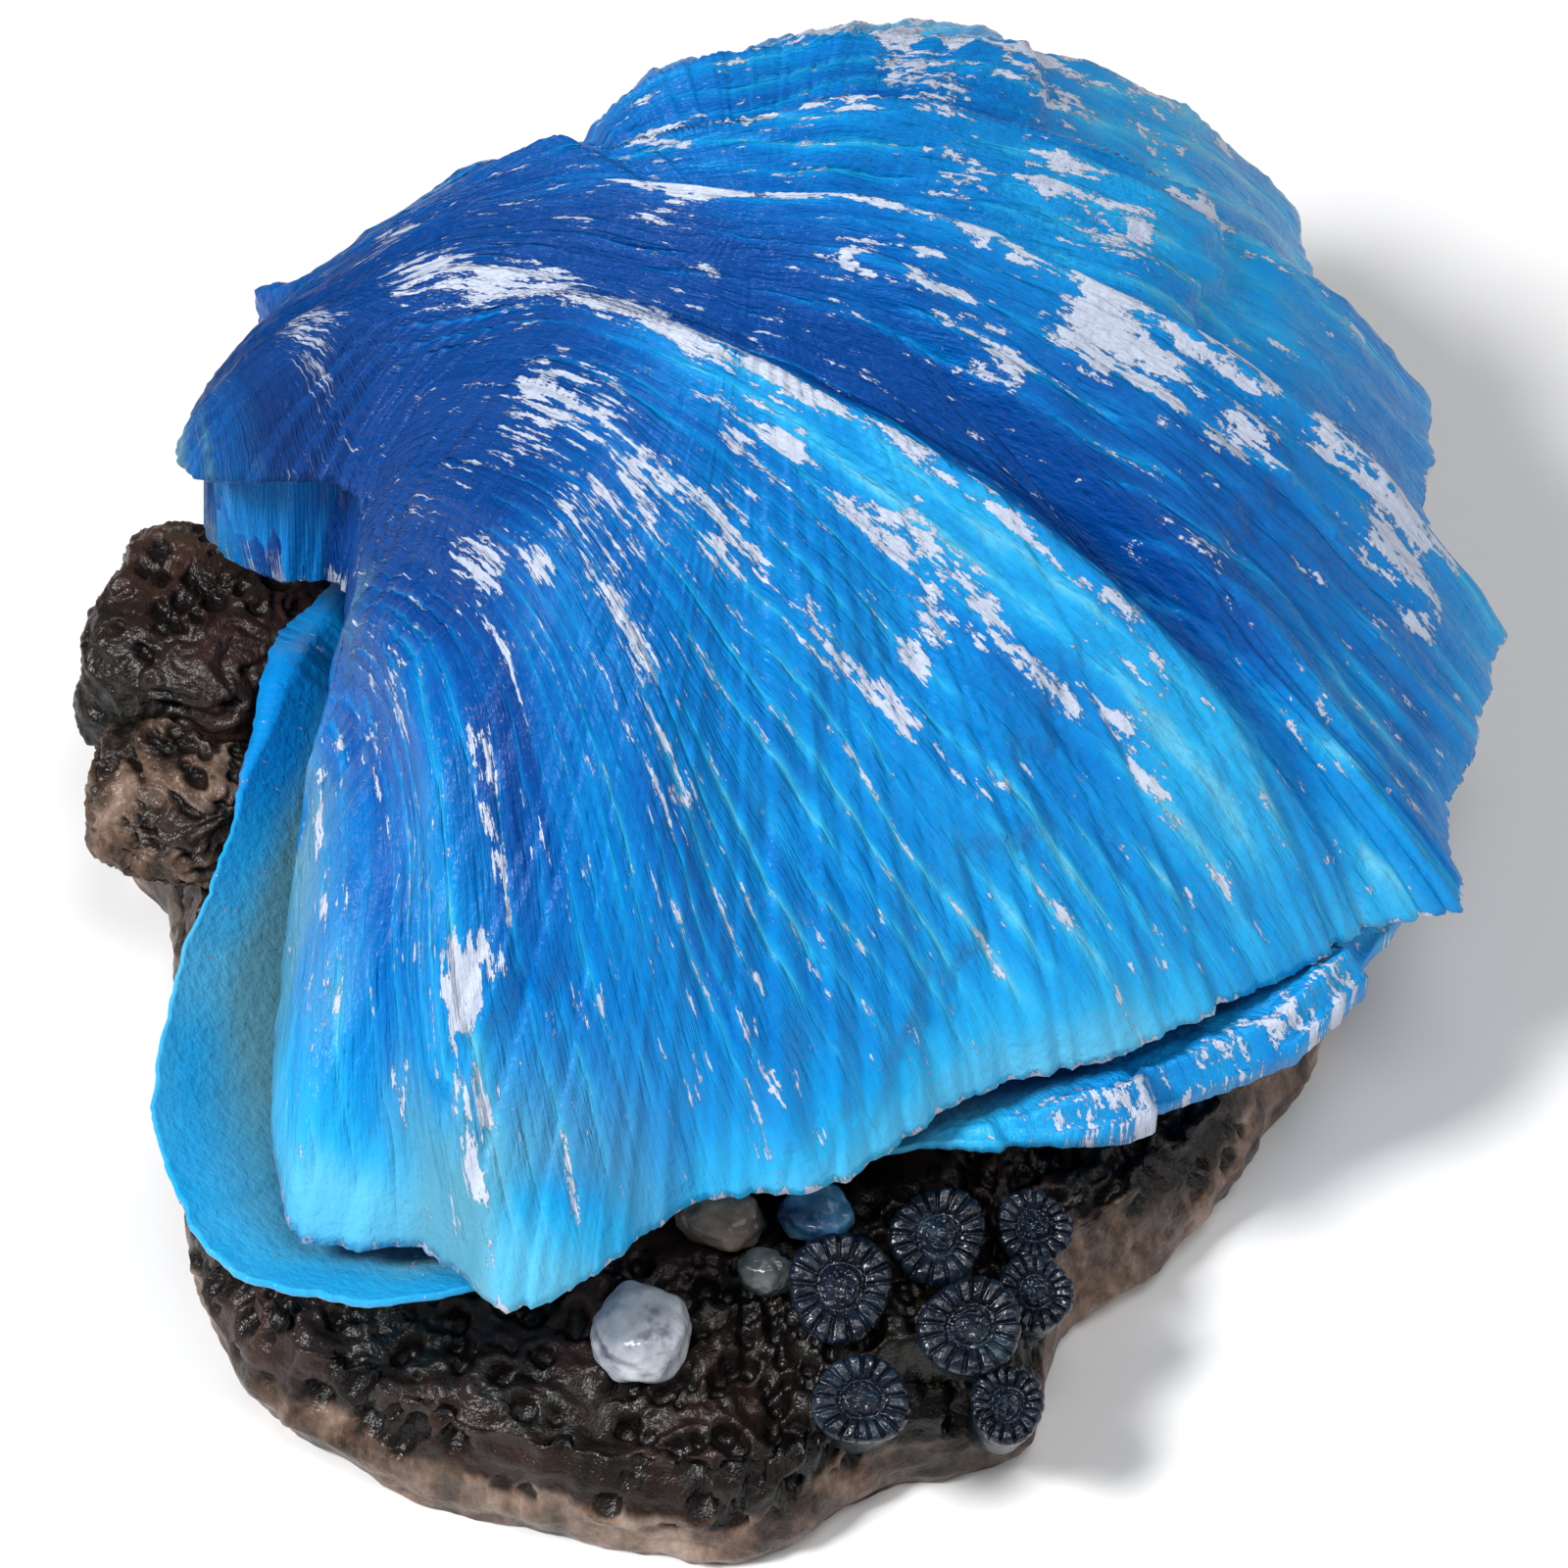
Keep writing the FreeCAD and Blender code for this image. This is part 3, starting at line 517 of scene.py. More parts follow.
def rock_height(x, y, share):
    """Height of the rock's top: lumpy edge, low hump for the polyps, flat seat inside."""
    edge = smooth(share, SEAT_SHARE, 1.0)
    hump = 1 - smooth(np.hypot(x - REEF_CENTRE[0], y - REEF_CENTRE[1]), REEF_FLAT, REEF_RADIUS)
    rough = smooth(share, SEAT_SHARE, SEAT_SHARE + SEAT_BLEND)
    lumps = np.sin(ROCK_LUMP_X[0] * x + ROCK_LUMP_X[1]) * np.cos(ROCK_LUMP_Y[0] * y + ROCK_LUMP_Y[1])
    lumps = ROCK_LUMP * lumps
    return SEAT_HEIGHT - (SEAT_HEIGHT - ROCK_WALL_HEIGHT) * edge + rough * (lumps + REEF_RISE * hump)


def make_rock():
    """Base with a wall like poured wax below a top full of pores."""
    outline = closed_curve(ROCK_OUTLINE, ROCK_STEPS)
    turn = np.arctan2(outline[:, 1], outline[:, 0])
    circle = np.stack([np.cos(turn), np.sin(turn)], -1)
    reach = np.hypot(outline[:, 0], outline[:, 1])
    flutes = noise_at(circle, 7.0, 2) * 0.9 + noise_at(circle, 19.0, 2) * 0.5
    rings = []
    for level in np.linspace(0.0, 0.97, ROCK_WALL_RINGS):
        bulge = ROCK_WALL_BULGE * math.sin(math.pi * min(0.15 + level, 0.97))
        column = np.column_stack([outline * 0.12, np.full(ROCK_STEPS, level * 3.0)])
        nicks = noise_at(column, 1.0, 4) * 0.7
        lean = -0.9 * smooth(level, 0.75, 1.0)
        push = bulge * 0.8 + flutes * (0.4 + 0.6 * level) + nicks + lean
        share = 1 + push / reach
        height = level * (ROCK_WALL_HEIGHT + 0.5 * flutes * level)
        rings.append(np.column_stack([outline * share[:, None], height]))
    last = rings[-1]
    for share in np.linspace(1.0, ROCK_TOP_INNER, ROCK_TOP_RINGS):
        plan = last[:, :2] * share
        height = rock_height(plan[:, 0], plan[:, 1], share)
        edge = smooth(share, 0.965, 1.0)
        rings.append(np.column_stack([plan, height * (1 - edge) + last[:, 2] * edge]))
    rings = np.array(rings)
    first = ROCK_WALL_RINGS - PORED_WALL_RINGS
    skin = rings[first:].reshape(-1, 3)
    share = np.concatenate([
        np.ones(PORED_WALL_RINGS), np.linspace(1.0, ROCK_TOP_INNER, ROCK_TOP_RINGS)])
    share = np.repeat(share, ROCK_STEPS)
    wall = np.repeat(np.arange(len(rings) - first) < PORED_WALL_RINGS, ROCK_STEPS)
    randoms = np.random.default_rng(ROCK_SEED)
    picks = randoms.integers(0, len(skin), PORE_COUNT)
    radii = randoms.uniform(0.35, 1.0, PORE_COUNT) ** 1.3 * PORE_RADIUS
    depth = pits(skin, skin[picks], radii, PORE_DEPTH, 0.06)
    rough = smooth(share, 0.66, 0.74)
    crags = noise_at(skin, 0.28, 3) * 0.75 + noise_at(skin, 0.8, 3) * 0.35
    edge = smooth(share, 0.975, 0.995)
    start = np.repeat(smooth(np.arange(len(rings) - first), 0, 6), ROCK_STEPS)
    skin[:, 2] += np.where(wall, 0.0, rough * (1 - 0.6 * edge) * (crags - depth))
    inward = np.where(wall, depth * start, 0.6 * edge * depth)
    skin[:, :2] *= 1 - (inward / np.hypot(skin[:, 0], skin[:, 1]))[:, None]
    rings[first:] = skin.reshape(rings[first:].shape)
    pore = np.zeros(rings.shape[:2])
    pore[first:] = (depth * start).reshape(pore[first:].shape)
    beige = np.ones(rings.shape[:2])
    share = share[wall.sum():]
    right = smooth(np.cos(turn + 1.0), -0.3, 0.5)
    band = 0.7 * smooth(share, 0.955, 1.0).reshape(ROCK_TOP_RINGS, ROCK_STEPS)
    beige[ROCK_WALL_RINGS:] = band * right
    height = rings[:ROCK_WALL_RINGS, :, 2]
    beige[:ROCK_WALL_RINGS] -= smooth(height, 3.6, 7.4) * (1 - 0.55 * right)
    return ring_solid("rock_base_casting", rings, {"pore": pore, "beige": beige})


def ball_points(steps, levels, squareness):
    """Rings of points on a unit ball, and the same points on a squared-off ball."""
    tilt = (np.arange(1, levels) / levels - 0.5)[:, None] * math.pi
    turn = np.arange(steps)[None, :] * 2 * math.pi / steps
    ball = np.stack([
        np.cos(tilt) * np.cos(turn), np.cos(tilt) * np.sin(turn),
        np.sin(tilt) + 0 * turn], -1)
    return ball, ball / (np.abs(ball) ** squareness).sum(-1, keepdims=True) ** (1 / squareness)


def make_boulder(name, node, seed, squareness, beige, pore_count):
    """Lumpy stone with swirls and slanting oval pores that fills its CAD box."""
    low, high = (np.array(corner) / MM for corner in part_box(node))
    centre, half = (low + high) / 2, (high - low) / 2
    ball, blocky = ball_points(260, 130, squareness)
    offset = np.array([seed * 13.0, 0.0, 0.0])
    lumps = noise_at(blocky + offset, 1.2, 2) * 0.13
    swirl = noise_at(blocky * (1.0, 1.0, 3.0) + offset + lumps[..., None] * 12, 2.4, 4)
    shape = blocky * (0.97 + lumps + 0.05 * swirl)[..., None] * half + centre
    points = shape.reshape(-1, 3)
    randoms = np.random.default_rng(seed)
    picks = randoms.integers(0, len(points), pore_count)
    squeeze = np.array([[0.8, 0.3, 0.0], [-0.3, 0.8, 0.3], [0.5, -0.5, 2.3]])
    oval = points @ squeeze.T
    depth = pits(oval, oval[picks], randoms.uniform(0.4, 1.15, pore_count), 0.70, 0.0)
    points -= unit(points - centre) * depth[:, None]
    points[:, 2] = np.maximum(points[:, 2], low[2] + 0.02)
    pore = depth.reshape(shape.shape[:2])
    upward = beige - 0.35 * smooth(ball[..., 2], -0.2, 0.8)
    return ring_solid(name, points.reshape(shape.shape), {"pore": pore, "beige": upward})


# -------------------------- polyps, pebble, coral nubs
POLYP_STEPS = 204
POLYP_PROFILE = (             # share of the radius, height in mm, share of the petals' depth
    (0.80, -6.0, 0.0), (0.78, -3.8, 0.1), (0.82, -2.6, 0.2), (0.92, -1.6, 0.3),
    (0.99, -0.9, 0.4), (1.0, -0.45, 0.5), (0.97, -0.12, 0.8), (0.90, 0.05, 1.0),
    (0.80, 0.10, 1.0), (0.68, 0.08, 1.0), (0.58, 0.00, 1.0), (0.50, -0.12, 0.7),
    (0.45, -0.30, 0.2), (0.41, -0.30, 0.0), (0.37, -0.05, 0.0), (0.31, 0.18, 0.0),
    (0.25, 0.28, 0.0), (0.18, 0.34, 0.0), (0.11, 0.38, 0.0), (0.05, 0.40, 0.0),
)
POLYP_ROOT = (-30.0, -19.0, 4.0)  # point in the rock that the stalks' roots bend towards
POLYP_ROOT_RINGS = 6
POLYP_ROOT_STEP = 1.1         # along the root, from ring to ring


def root_rings(foot, axis, side, radius, turn):
    """Rings that carry a stalk on from its foot and bend it into the rock, deepest first."""
    inward = unit(np.array(POLYP_ROOT) - foot)
    rings = []
    for share in np.linspace(0.2, 1.0, POLYP_ROOT_RINGS):
        along = unit((1 - share) * -axis + share * inward)
        foot = foot + along * POLYP_ROOT_STEP
        first = unit(side - along * np.dot(side, along))
        second = np.cross(-along, first)
        r = radius * (1 - 0.2 * share)
        rings.append(foot + first * (r * np.cos(turn))[:, None] + second * (r * np.sin(turn))[:, None])
    return rings[::-1]


def make_polyp(number, node):
    """Leaning button polyp: fluted stalk, disc with petals, rough raised centre."""
    low, high = (np.array(corner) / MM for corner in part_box(node))
    axis = unit(np.array([POLYP_LEAN[0], POLYP_LEAN[1], 1.0]))
    radius = (high[0] - low[0] - POLYP_HEIGHT * abs(axis[0])) / 2 * POLYP_SPREAD
    middle = (low + high) / 2 + axis * POLYP_HEIGHT / 2 - np.array([0.0, 0.0, POLYP_SINK])
    side = unit(np.cross(axis, np.array([0.0, 1.0, 0.0])))
    over = np.cross(axis, side)
    turn = np.arange(POLYP_STEPS) * 2 * math.pi / POLYP_STEPS
    fine = []
    for (r0, z0, w0), (r1, z1, w1) in zip(POLYP_PROFILE, POLYP_PROFILE[1:]):
        for t in (0.0, 0.5):
            fine.append((r0 + (r1 - r0) * t, z0 + (z1 - z0) * t, w0 + (w1 - w0) * t))
    foot_share, foot_height, _ = fine[0]
    rings = root_rings(middle + axis * foot_height, axis, side, radius * foot_share, turn)
    disc = [np.full(POLYP_STEPS, 1.0 - foot_height * 0.2) for _ in rings]
    for share, height, weight in fine:
        wave = np.cos(POLYP_PETALS * turn + 0.6 * np.sin(3 * turn + number))
        groove = -0.42 * weight * smooth(-wave, 0.35, 1.0)
        crumb = noise_at(np.column_stack([
            share * np.cos(turn), share * np.sin(turn),
            np.full(POLYP_STEPS, number + height)]), 5.0, 2)
        uneven = 1 + 0.05 * np.sin(2 * turn + number) + 0.04 * np.cos(3 * turn - number)
        r = radius * share * uneven + 0.35 * groove
        z = height + groove * (share > 0.5) + 0.12 * crumb * (1 + 2.0 * (share < 0.40))
        rings.append(middle + axis * z[:, None] + side * (r * np.cos(turn))[:, None]
                     + over * (r * np.sin(turn))[:, None])
        disc.append(np.full(POLYP_STEPS, share if height > -0.6 else 1.0 - height * 0.2))
    return ring_solid("polyp_%d" % number, rings, {"disc": np.array(disc)})


def make_stone(name, node, bumps, squareness, seed):
    """Rounded stone with soft facets that fills its CAD box."""
    low, high = (np.array(corner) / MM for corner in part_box(node))
    _, ball = ball_points(96, 60, squareness)
    offset = np.array([0.0, seed * 7.0, 0.0])
    lumps = noise_at(ball + offset, 1.4, 2) * bumps + noise_at(ball + offset, 6.0, 2) * bumps * 0.12
    shape = ball * (0.95 + lumps)[..., None] * (high - low) / 2 + (low + high) / 2
    return ring_solid(name, shape)


# -------------------------- material helpers
class Look:
    """Short way to build a node material around one Principled shader."""

    def __init__(self, name, roughness=0.4, coat=0.0, coat_roughness=0.1, specular=0.5,
                 metallic=0.0):
        self.material = bpy.data.materials.new(name)
        self.material.use_nodes = True
        self.tree = self.material.node_tree
        self.shader = self.tree.nodes["Principled BSDF"]
        self.shader.inputs["Roughness"].default_value = roughness
        self.shader.inputs["Coat Weight"].default_value = coat
        self.shader.inputs["Coat Roughness"].default_value = coat_roughness
        self.shader.inputs["Specular IOR Level"].default_value = specular
        self.shader.inputs["Metallic"].default_value = metallic

    def node(self, kind, **settings):
        made = self.tree.nodes.new("ShaderNode" + kind)
        for key, value in settings.items():
            setattr(made, key, value)
        return made

    def feed(self, socket, value):
        if isinstance(value, bpy.types.NodeSocket):
            self.tree.links.new(value, socket)
        else:
            socket.default_value = value

    def place(self):
        """Coordinates in metres, fixed to the piece."""
        return self.node("TexCoord").outputs["Object"]

    def attribute(self, name, output="Fac"):
        return self.node("Attribute", attribute_name=name).outputs[output]

    def noise(self, coords, scale, detail=3.0, roughness=0.55):
        made = self.node("TexNoise")
        self.feed(made.inputs["Vector"], coords)
        made.inputs["Scale"].default_value = scale
        made.inputs["Detail"].default_value = detail
        made.inputs["Roughness"].default_value = roughness
        return made.outputs["Fac"]

    def scaled(self, coords, factors):
        made = self.node("VectorMath", operation="MULTIPLY")
        self.feed(made.inputs[0], coords)
        made.inputs[1].default_value = factors
        return made.outputs[0]

    def math(self, operation, a, b):
        made = self.node("Math", operation=operation)
        self.feed(made.inputs[0], a)
        self.feed(made.inputs[1], b)
        return made.outputs[0]

    def step(self, value, low, high):
        """0 below low, 1 above high, smooth between."""
        made = self.node("MapRange", interpolation_type="SMOOTHSTEP", clamp=True)
        self.feed(made.inputs["Value"], value)
        made.inputs["From Min"].default_value = low
        made.inputs["From Max"].default_value = high
        return made.outputs["Result"]

    def around(self, value, amount):
        """Noise from 0 to 1 turned into an offset of up to the amount either way."""
        return self.math("MULTIPLY", self.math("SUBTRACT", value, 0.5), 2 * amount)

    def ramp(self, value, stops):
        made = self.node("ValToRGB")
        elements = made.color_ramp.elements
        for position, colour in stops[1:-1]:
            elements.new(position)
        for element, (position, colour) in zip(elements, stops):
            element.position = position
            element.color = (*colour, 1.0)
        self.feed(made.inputs["Fac"], value)
        return made.outputs["Color"]

    def blend(self, share, a, b):
        made = self.node("Mix", data_type="RGBA")
        self.feed(made.inputs["Factor"], share)
        for socket, value in ((made.inputs[6], a), (made.inputs[7], b)):
            self.feed(socket, (*value, 1.0) if isinstance(value, tuple) else value)
        return made.outputs[2]

    def finish(self, colour, height=None, strength=0.3, distance=0.0004, roughness=None):
        self.feed(self.shader.inputs["Base Color"], colour)
        if roughness is not None:
            self.feed(self.shader.inputs["Roughness"], roughness)
        if height is not None:
            bump = self.node("Bump")
            bump.inputs["Strength"].default_value = strength
            bump.inputs["Distance"].default_value = distance
            self.feed(bump.inputs["Height"], height)
            self.feed(self.shader.inputs["Normal"], bump.outputs["Normal"])
        return self.material


# -------------------------- looks
BLUES = (
    (0.0, (0.001, 0.055, 0.27)), (0.2, (0.001, 0.105, 0.41)), (0.45, (0.001, 0.20, 0.58)),
    (0.65, (0.005, 0.27, 0.66)), (0.82, (0.018, 0.38, 0.74)), (1.0, (0.10, 0.49, 0.75)),
)
# Dry-brushed white, which also serves as painted reflection of the lamps on the shell.
WHITE_PAINT_AND_GLARE = (0.52, 0.58, 0.72)
GREY_BLUE = (0.10, 0.30, 0.40)
VEIN_SCALE = 260.0            # of the noise on the small stones, per metre


def clam_paint():
    """Blue paint brushed along the shell, dry-brushed white on its high parts that also stands in for
    painted reflections of the lamps, glossy.
    """
    look = Look("clam_paint", roughness=0.3, specular=0.17)
    streak = look.attribute("streak", "Vector")
    place = look.place()
    wander = look.around(look.noise(streak, 0.5, 2.0, 0.5), 0.3)
    wave = look.math("PINGPONG", look.math("ADD", look.attribute("riblet"), wander), 0.5)
    crisp = look.math("POWER", look.math("MULTIPLY", wave, 2.0), 2.4)
    patchy = look.step(look.noise(streak, 0.45, 4.0, 0.65), 0.42, 0.62)
    crisp = look.math("MULTIPLY", crisp, look.math("ADD", 0.15, look.math("MULTIPLY", patchy, 0.85)))
    crisp = look.math("MULTIPLY", crisp, look.attribute("ribbed"))
    ridge = look.math("ADD", crisp, look.math("MULTIPLY", look.attribute("ridge"), 0.5))
    busy = look.math("SUBTRACT", 1.0, look.math("MULTIPLY", look.attribute("calm"), 0.85))
    long_lines = look.noise(streak, 0.95, 5.0, 0.65)
    long_streaks = look.around(long_lines, 0.26)
    hair = look.noise(look.scaled(streak, (1.0, 1.0, 0.35)), 3.2, 3.0, 0.6)
    mottle = look.noise(place, 150.0, 3.0)
    streaks = look.math("ADD", long_streaks, look.around(hair, 0.12))
    value = look.math("ADD", look.attribute("tone"), look.math("MULTIPLY", streaks, busy))
    value = look.math("ADD", value, look.around(mottle, 0.10))
    ribs = look.math("MULTIPLY", look.around(crisp, 0.24), busy)
    value = look.math("ADD", value, look.math("ADD", ribs, 0.13))
    blue = look.ramp(value, BLUES)
    blue = look.blend(look.attribute("grey"), blue, GREY_BLUE)

    chips = look.noise(look.scaled(streak, (1.0, 1.0, 1.3)), 1.7, 6.0, 0.72)
    specks = look.noise(place, 1300.0, 2.0, 0.6)
    touched = look.noise(place, 260.0, 4.0, 0.7)
    cover = look.math("ADD", look.attribute("white"), look.around(chips, 1.5))
    cover = look.math("ADD", cover, look.around(touched, 0.45))
    cover = look.math("ADD", cover, look.around(specks, 0.20))
    cover = look.math("ADD", cover, look.math("MULTIPLY", ridge, 0.26))
    white = look.step(cover, 0.50, 0.57)
    colour = look.blend(white, blue, WHITE_PAINT_AND_GLARE)
    rough = look.math("ADD", 0.14, look.math("MULTIPLY", mottle, 0.26))
    grain = look.math("ADD", look.math("MULTIPLY", hair, 0.35), look.math("MULTIPLY", long_lines, 0.8))
    grain = look.math("MULTIPLY", grain, busy)
    grain = look.math("ADD", grain, look.math("MULTIPLY", crisp, 0.45))
    grain = look.math("ADD", grain, look.math("MULTIPLY", specks, 0.16))
    grain = look.math("ADD", grain, look.math("MULTIPLY", white, 0.12))
    return look.finish(colour, grain, 0.8, 0.0011, rough)


def rock_look():
    """Varnished rock: dark pitted top, beige wall with brown and olive streaks."""
    look = Look("rock_varnish", roughness=0.3, specular=0.30)
    place = look.place()
    wavy = look.noise(place, 110.0, 4.0, 0.6)
    streaks = look.noise(look.scaled(place, (1.0, 1.0, 0.55)), 210.0, 5.0, 0.68)
    patches = look.noise(place, 75.0, 4.0, 0.6)
    beige = look.ramp(streaks, (
        (0.32, (0.006, 0.004, 0.003)), (0.41, (0.030, 0.016, 0.010)),
        (0.49, (0.10, 0.058, 0.038)), (0.58, (0.22, 0.145, 0.105)), (0.72, (0.42, 0.32, 0.26))))
    olive = look.step(patches, 0.50, 0.66)
    beige = look.blend(look.math("MULTIPLY", olive, 0.6), beige, (0.060, 0.048, 0.030))
    dark = look.ramp(patches, (
        (0.32, (0.002, 0.002, 0.001)), (0.46, (0.007, 0.005, 0.003)),
        (0.56, (0.022, 0.010, 0.007)), (0.66, (0.045, 0.020, 0.014)), (0.78, (0.030, 0.030, 0.018))))
    share = look.math("ADD", look.attribute("beige"), look.around(wavy, 0.75))
    share = look.step(share, 0.42, 0.72)
    colour = look.blend(share, dark, beige)
    # Painted shade: the pores are darkened to near black.
    pore_shade = look.step(look.attribute("pore"), 0.06, 0.42)
    colour = look.blend(look.math("MULTIPLY", pore_shade, 0.93), colour, (0.003, 0.0018, 0.0015))
    fine = look.noise(place, 700.0, 4.0, 0.6)
    grain = look.math("ADD", fine, look.math("MULTIPLY", streaks, 0.8))
    rough = look.math("ADD", 0.16, look.math("MULTIPLY", fine, 0.36))
    return look.finish(colour, grain, 0.55, 0.0007, rough)


def polyp_look():
    """Near-black navy disc over a teal stalk, varnished."""
    look = Look("polyp_paint", roughness=0.22, specular=0.4)
    place = look.place()
    side = look.step(look.attribute("disc"), 0.95, 1.15)
    fleck = look.noise(place, 420.0, 4.0, 0.6)
    disc = look.ramp(fleck, (
        (0.35, (0.0015, 0.003, 0.007)), (0.55, (0.004, 0.009, 0.020)),
        (0.72, (0.014, 0.032, 0.050))))
    stalk = look.ramp(fleck, (
        (0.30, (0.003, 0.006, 0.008)), (0.5, (0.009, 0.020, 0.024)),
        (0.72, (0.030, 0.060, 0.065))))
    colour = look.blend(side, disc, stalk)
    fine = look.noise(place, 1600.0, 2.0)
    rough = look.math("ADD", 0.12, look.math("MULTIPLY", fleck, 0.3))
    return look.finish(colour, fine, 0.35, 0.0004, rough)


def stone_look(name, stops):
    """Varnished stone or coral with veins between the colours of its stops."""
    look = Look(name, roughness=0.3, coat=0.3, coat_roughness=0.12)
    place = look.place()
    veins = look.noise(place, VEIN_SCALE, 4.0, 0.62)
    fine = look.noise(place, VEIN_SCALE * 6, 2.0)
    value = look.math("ADD", veins, look.around(fine, 0.05))
    return look.finish(look.ramp(value, stops), fine, 0.3, 0.0003)


def moulded_look(name, low, high, roughness, scale=500.0, metallic=0.0):
    """Plain moulded or drawn part: a slight drift of colour and finish over its surface."""
    look = Look(name, roughness=roughness, metallic=metallic)
    place = look.place()
    drift = look.noise(place, scale, 3.0)
    colour = look.ramp(drift, ((0.3, low), (0.7, high)))
    rough = look.math("ADD", roughness - 0.05, look.math("MULTIPLY", drift, 0.1))
    return look.finish(colour, drift, 0.08, 0.0002, rough)


# -------------------------- paint maps
# Spots of paint on the shell: angle and reach from the umbo, half widths, strength. The white spots
# are dry-brushed white and painted reflection of the lamps at once.
WHITE_PAINT_AND_GLARE_SPOTS = (
    (0, 8, 12, 2.5, .55), (10, 15, 5, 3, .6), (7, 21, 4, 4, .85), (5, 28, 2.5, 4, .8),
    (4, 33, 2, 4, .75), (3.5, 39, 1.5, 4, .6), (3.6, 46, 0.7, 6, .6), (3.4, 55, 0.5, 7, .45),
    (0, 40, 1.2, 2, .55), (-1, 45, 1.2, 3, .5), (0, 49, 1, 3.5, .6), (-1, 53, 1.4, 2, .65),
    (-4, 50, 3, 1.5, .6), (-1, 57, 0.8, 3, .5), (0, 62, 1, 3, .6), (-1, 65, 0.8, 3, .4),
    (-2, 38, 3, 4, .35), (-9, 39, 3, 4, .45), (-7, 27, 6, 4, .45), (-9, 47, 1.5, 4, .4),
    (-12, 33, 6, 5, .35), (-14, 25, 6, 3, .4), (-19, 32, 4, 3, .4), (-26, 31, 5, 2, .45),
    (-22, 37, 2, 4, .65), (-24, 42, 1.2, 4, .4), (-33, 27, 4, 3, .7), (-37, 32, 1, 4, .5),
    (-42, 38, 0.8, 6, .45), (-44, 44, 2, 2, .7), (-46, 49, 1.4, 2.5, .65), (-53, 30, 1.2, 6, .4),
    (-48, 28, 1, 6, .4), (21, 24, 5, 3, .4), (20, 30, 4, 3, .5), (26, 14, 6, 3, .45),
    (20.5, 38, 0.8, 8, .55), (17, 43, 3, 5, .3), (15, 50, 3, 4, .3), (19.5, 50, 1.2, 4, .5),
    (18, 56, 3, 3, .85), (17.5, 60, 2.2, 2, .6), (20, 62, 1, 3, .5), (17.5, 64, 2, 2, .65),
    (20.5, 69, 2, 2.5, .75), (19, 73, 2.5, 2.5, .75), (17, 76, 1.5, 2, .5), (30, 48, 2, 2, .5),
    (31, 54, 2.5, 3, .6), (29, 58, 2.5, 2, .5), (33, 62, 0.8, 3, .6), (33, 38, 0.8, 8, .4),
    (41, 50, 5, 2, .4), (44, 57, 5, 4, .45), (44, 64, 4, 3, .4), (38, 31, 3, 2, .45),
    (43, 47, 4, 2, .5), (56, 50, 5, 6, .4), (36, 68, 2, 2, .4), (62, 60, 4, 4, .35),
)
PALE_SPOTS = (
    (1.5, 48, 2.8, 12, .30), (1.5, 66, 4, 8, .22), (28, 60, 5, 14, .26), (40, 66, 9, 10, .3),
    (-20, 64, 26, 8, .16), (-52, 56, 12, 12, .34), (-30, 70, 26, 8, .26), (-62, 46, 8, 14, .25),
    (2, 34, 3, 7, .2), (6, 76, 6, 4, .2), (60, 56, 12, 12, .25), (-47, 44, 6, 10, .12),
    (-12, 50, 12, 14, .12), (-34, 50, 8, 12, .10),
)
DARK_SPOTS = (
    (8, 58, 3.2, 12, .36), (9, 45, 3.5, 12, .30), (14, 36, 6, 14, .24), (-5, 16, 40, 14, .3),
    (-30, 18, 20, 12, .2), (15, 60, 5, 14, .16), (23, 52, 2.5, 14, .18), (-40, 36, 4, 12, .2),
    (-27, 46, 3, 8, .16), (36, 48, 3, 12, .12), (-2, 58, 3, 6, .12), (12, 28, 10, 8, .12),
)


CREST_LINE_WIDTH = 0.6        # degrees
CREST_LINE_WHITE = 0.34


def spots(angle, reach, table):
    """Sum of soft spots, each fading out at its half widths."""
    total = np.zeros_like(angle)
    for centre, distance, wide, long, strength in table:
        away = np.sqrt(((angle - centre) / wide) ** 2 + ((reach - distance) / long) ** 2)
        total += strength * (1 - smooth(away, 0.35, 1.35))
    return total


def crest_lines(angle, reach):
    """White cover along the sharp crest of each fold, broken into dashes: dry-brushed white and
    painted highlight at once.
    """
    total = np.zeros_like(angle)
    for (_, before), (crest, height), (_, after) in zip(FOLDS, FOLDS[1:], FOLDS[2:]):
        if height > max(before, after):
            wander = 0.4 * noise_at(np.stack([reach * 0.12, angle * 0 + crest], -1))
            dashes = noise_at(np.stack([reach * 0.22, angle * 0 + 7 * crest], -1), 1.0, 2)
            line = np.exp(-((angle - crest - wander) / CREST_LINE_WIDTH) ** 2)
            total += line * CREST_LINE_WHITE * smooth(dashes, -0.25, 0.30)
    return total * smooth(reach, 14.0, 24.0)


def paint_maps(angle, reach, fold, share):
    """Vertex attributes that the paint reads: streak coordinates, tone and white cover."""
    turn = np.radians(angle)
    streak = np.stack([45 * np.cos(turn), 45 * np.sin(turn), reach * 0.16], -1)
    tone = 0.27 + 0.24 * smooth(reach, 15, 60) + 0.05 * np.clip(fold, -2, 2)
    tone += 0.14 * smooth(share, 0.93, 1.0)
    tone += spots(angle, reach, PALE_SPOTS) - spots(angle, reach, DARK_SPOTS)
    white = 0.07 + 0.78 * spots(angle, reach, WHITE_PAINT_AND_GLARE_SPOTS) + crest_lines(angle, reach)
    calm = smooth(share, 0.86, 1.0) * smooth(-angle, -4.0, 12.0)
    soft = noise_at(np.stack([angle * 0.09, reach * 0.07], -1) + 4.0, 1.0, 2)
    grey = 0.8 * smooth(soft, 0.02, 0.4) * smooth(share, 0.80, 0.95) * smooth(-angle, 30.0, 45.0)
    return {
        "streak": streak, "tone": tone, "white": white, "calm": calm, "grey": grey,
        "riblet": fine_riblets(angle, reach)}


# -------------------------- pieces
paint = clam_paint()
rock = rock_look()
polyp_paint = polyp_look()

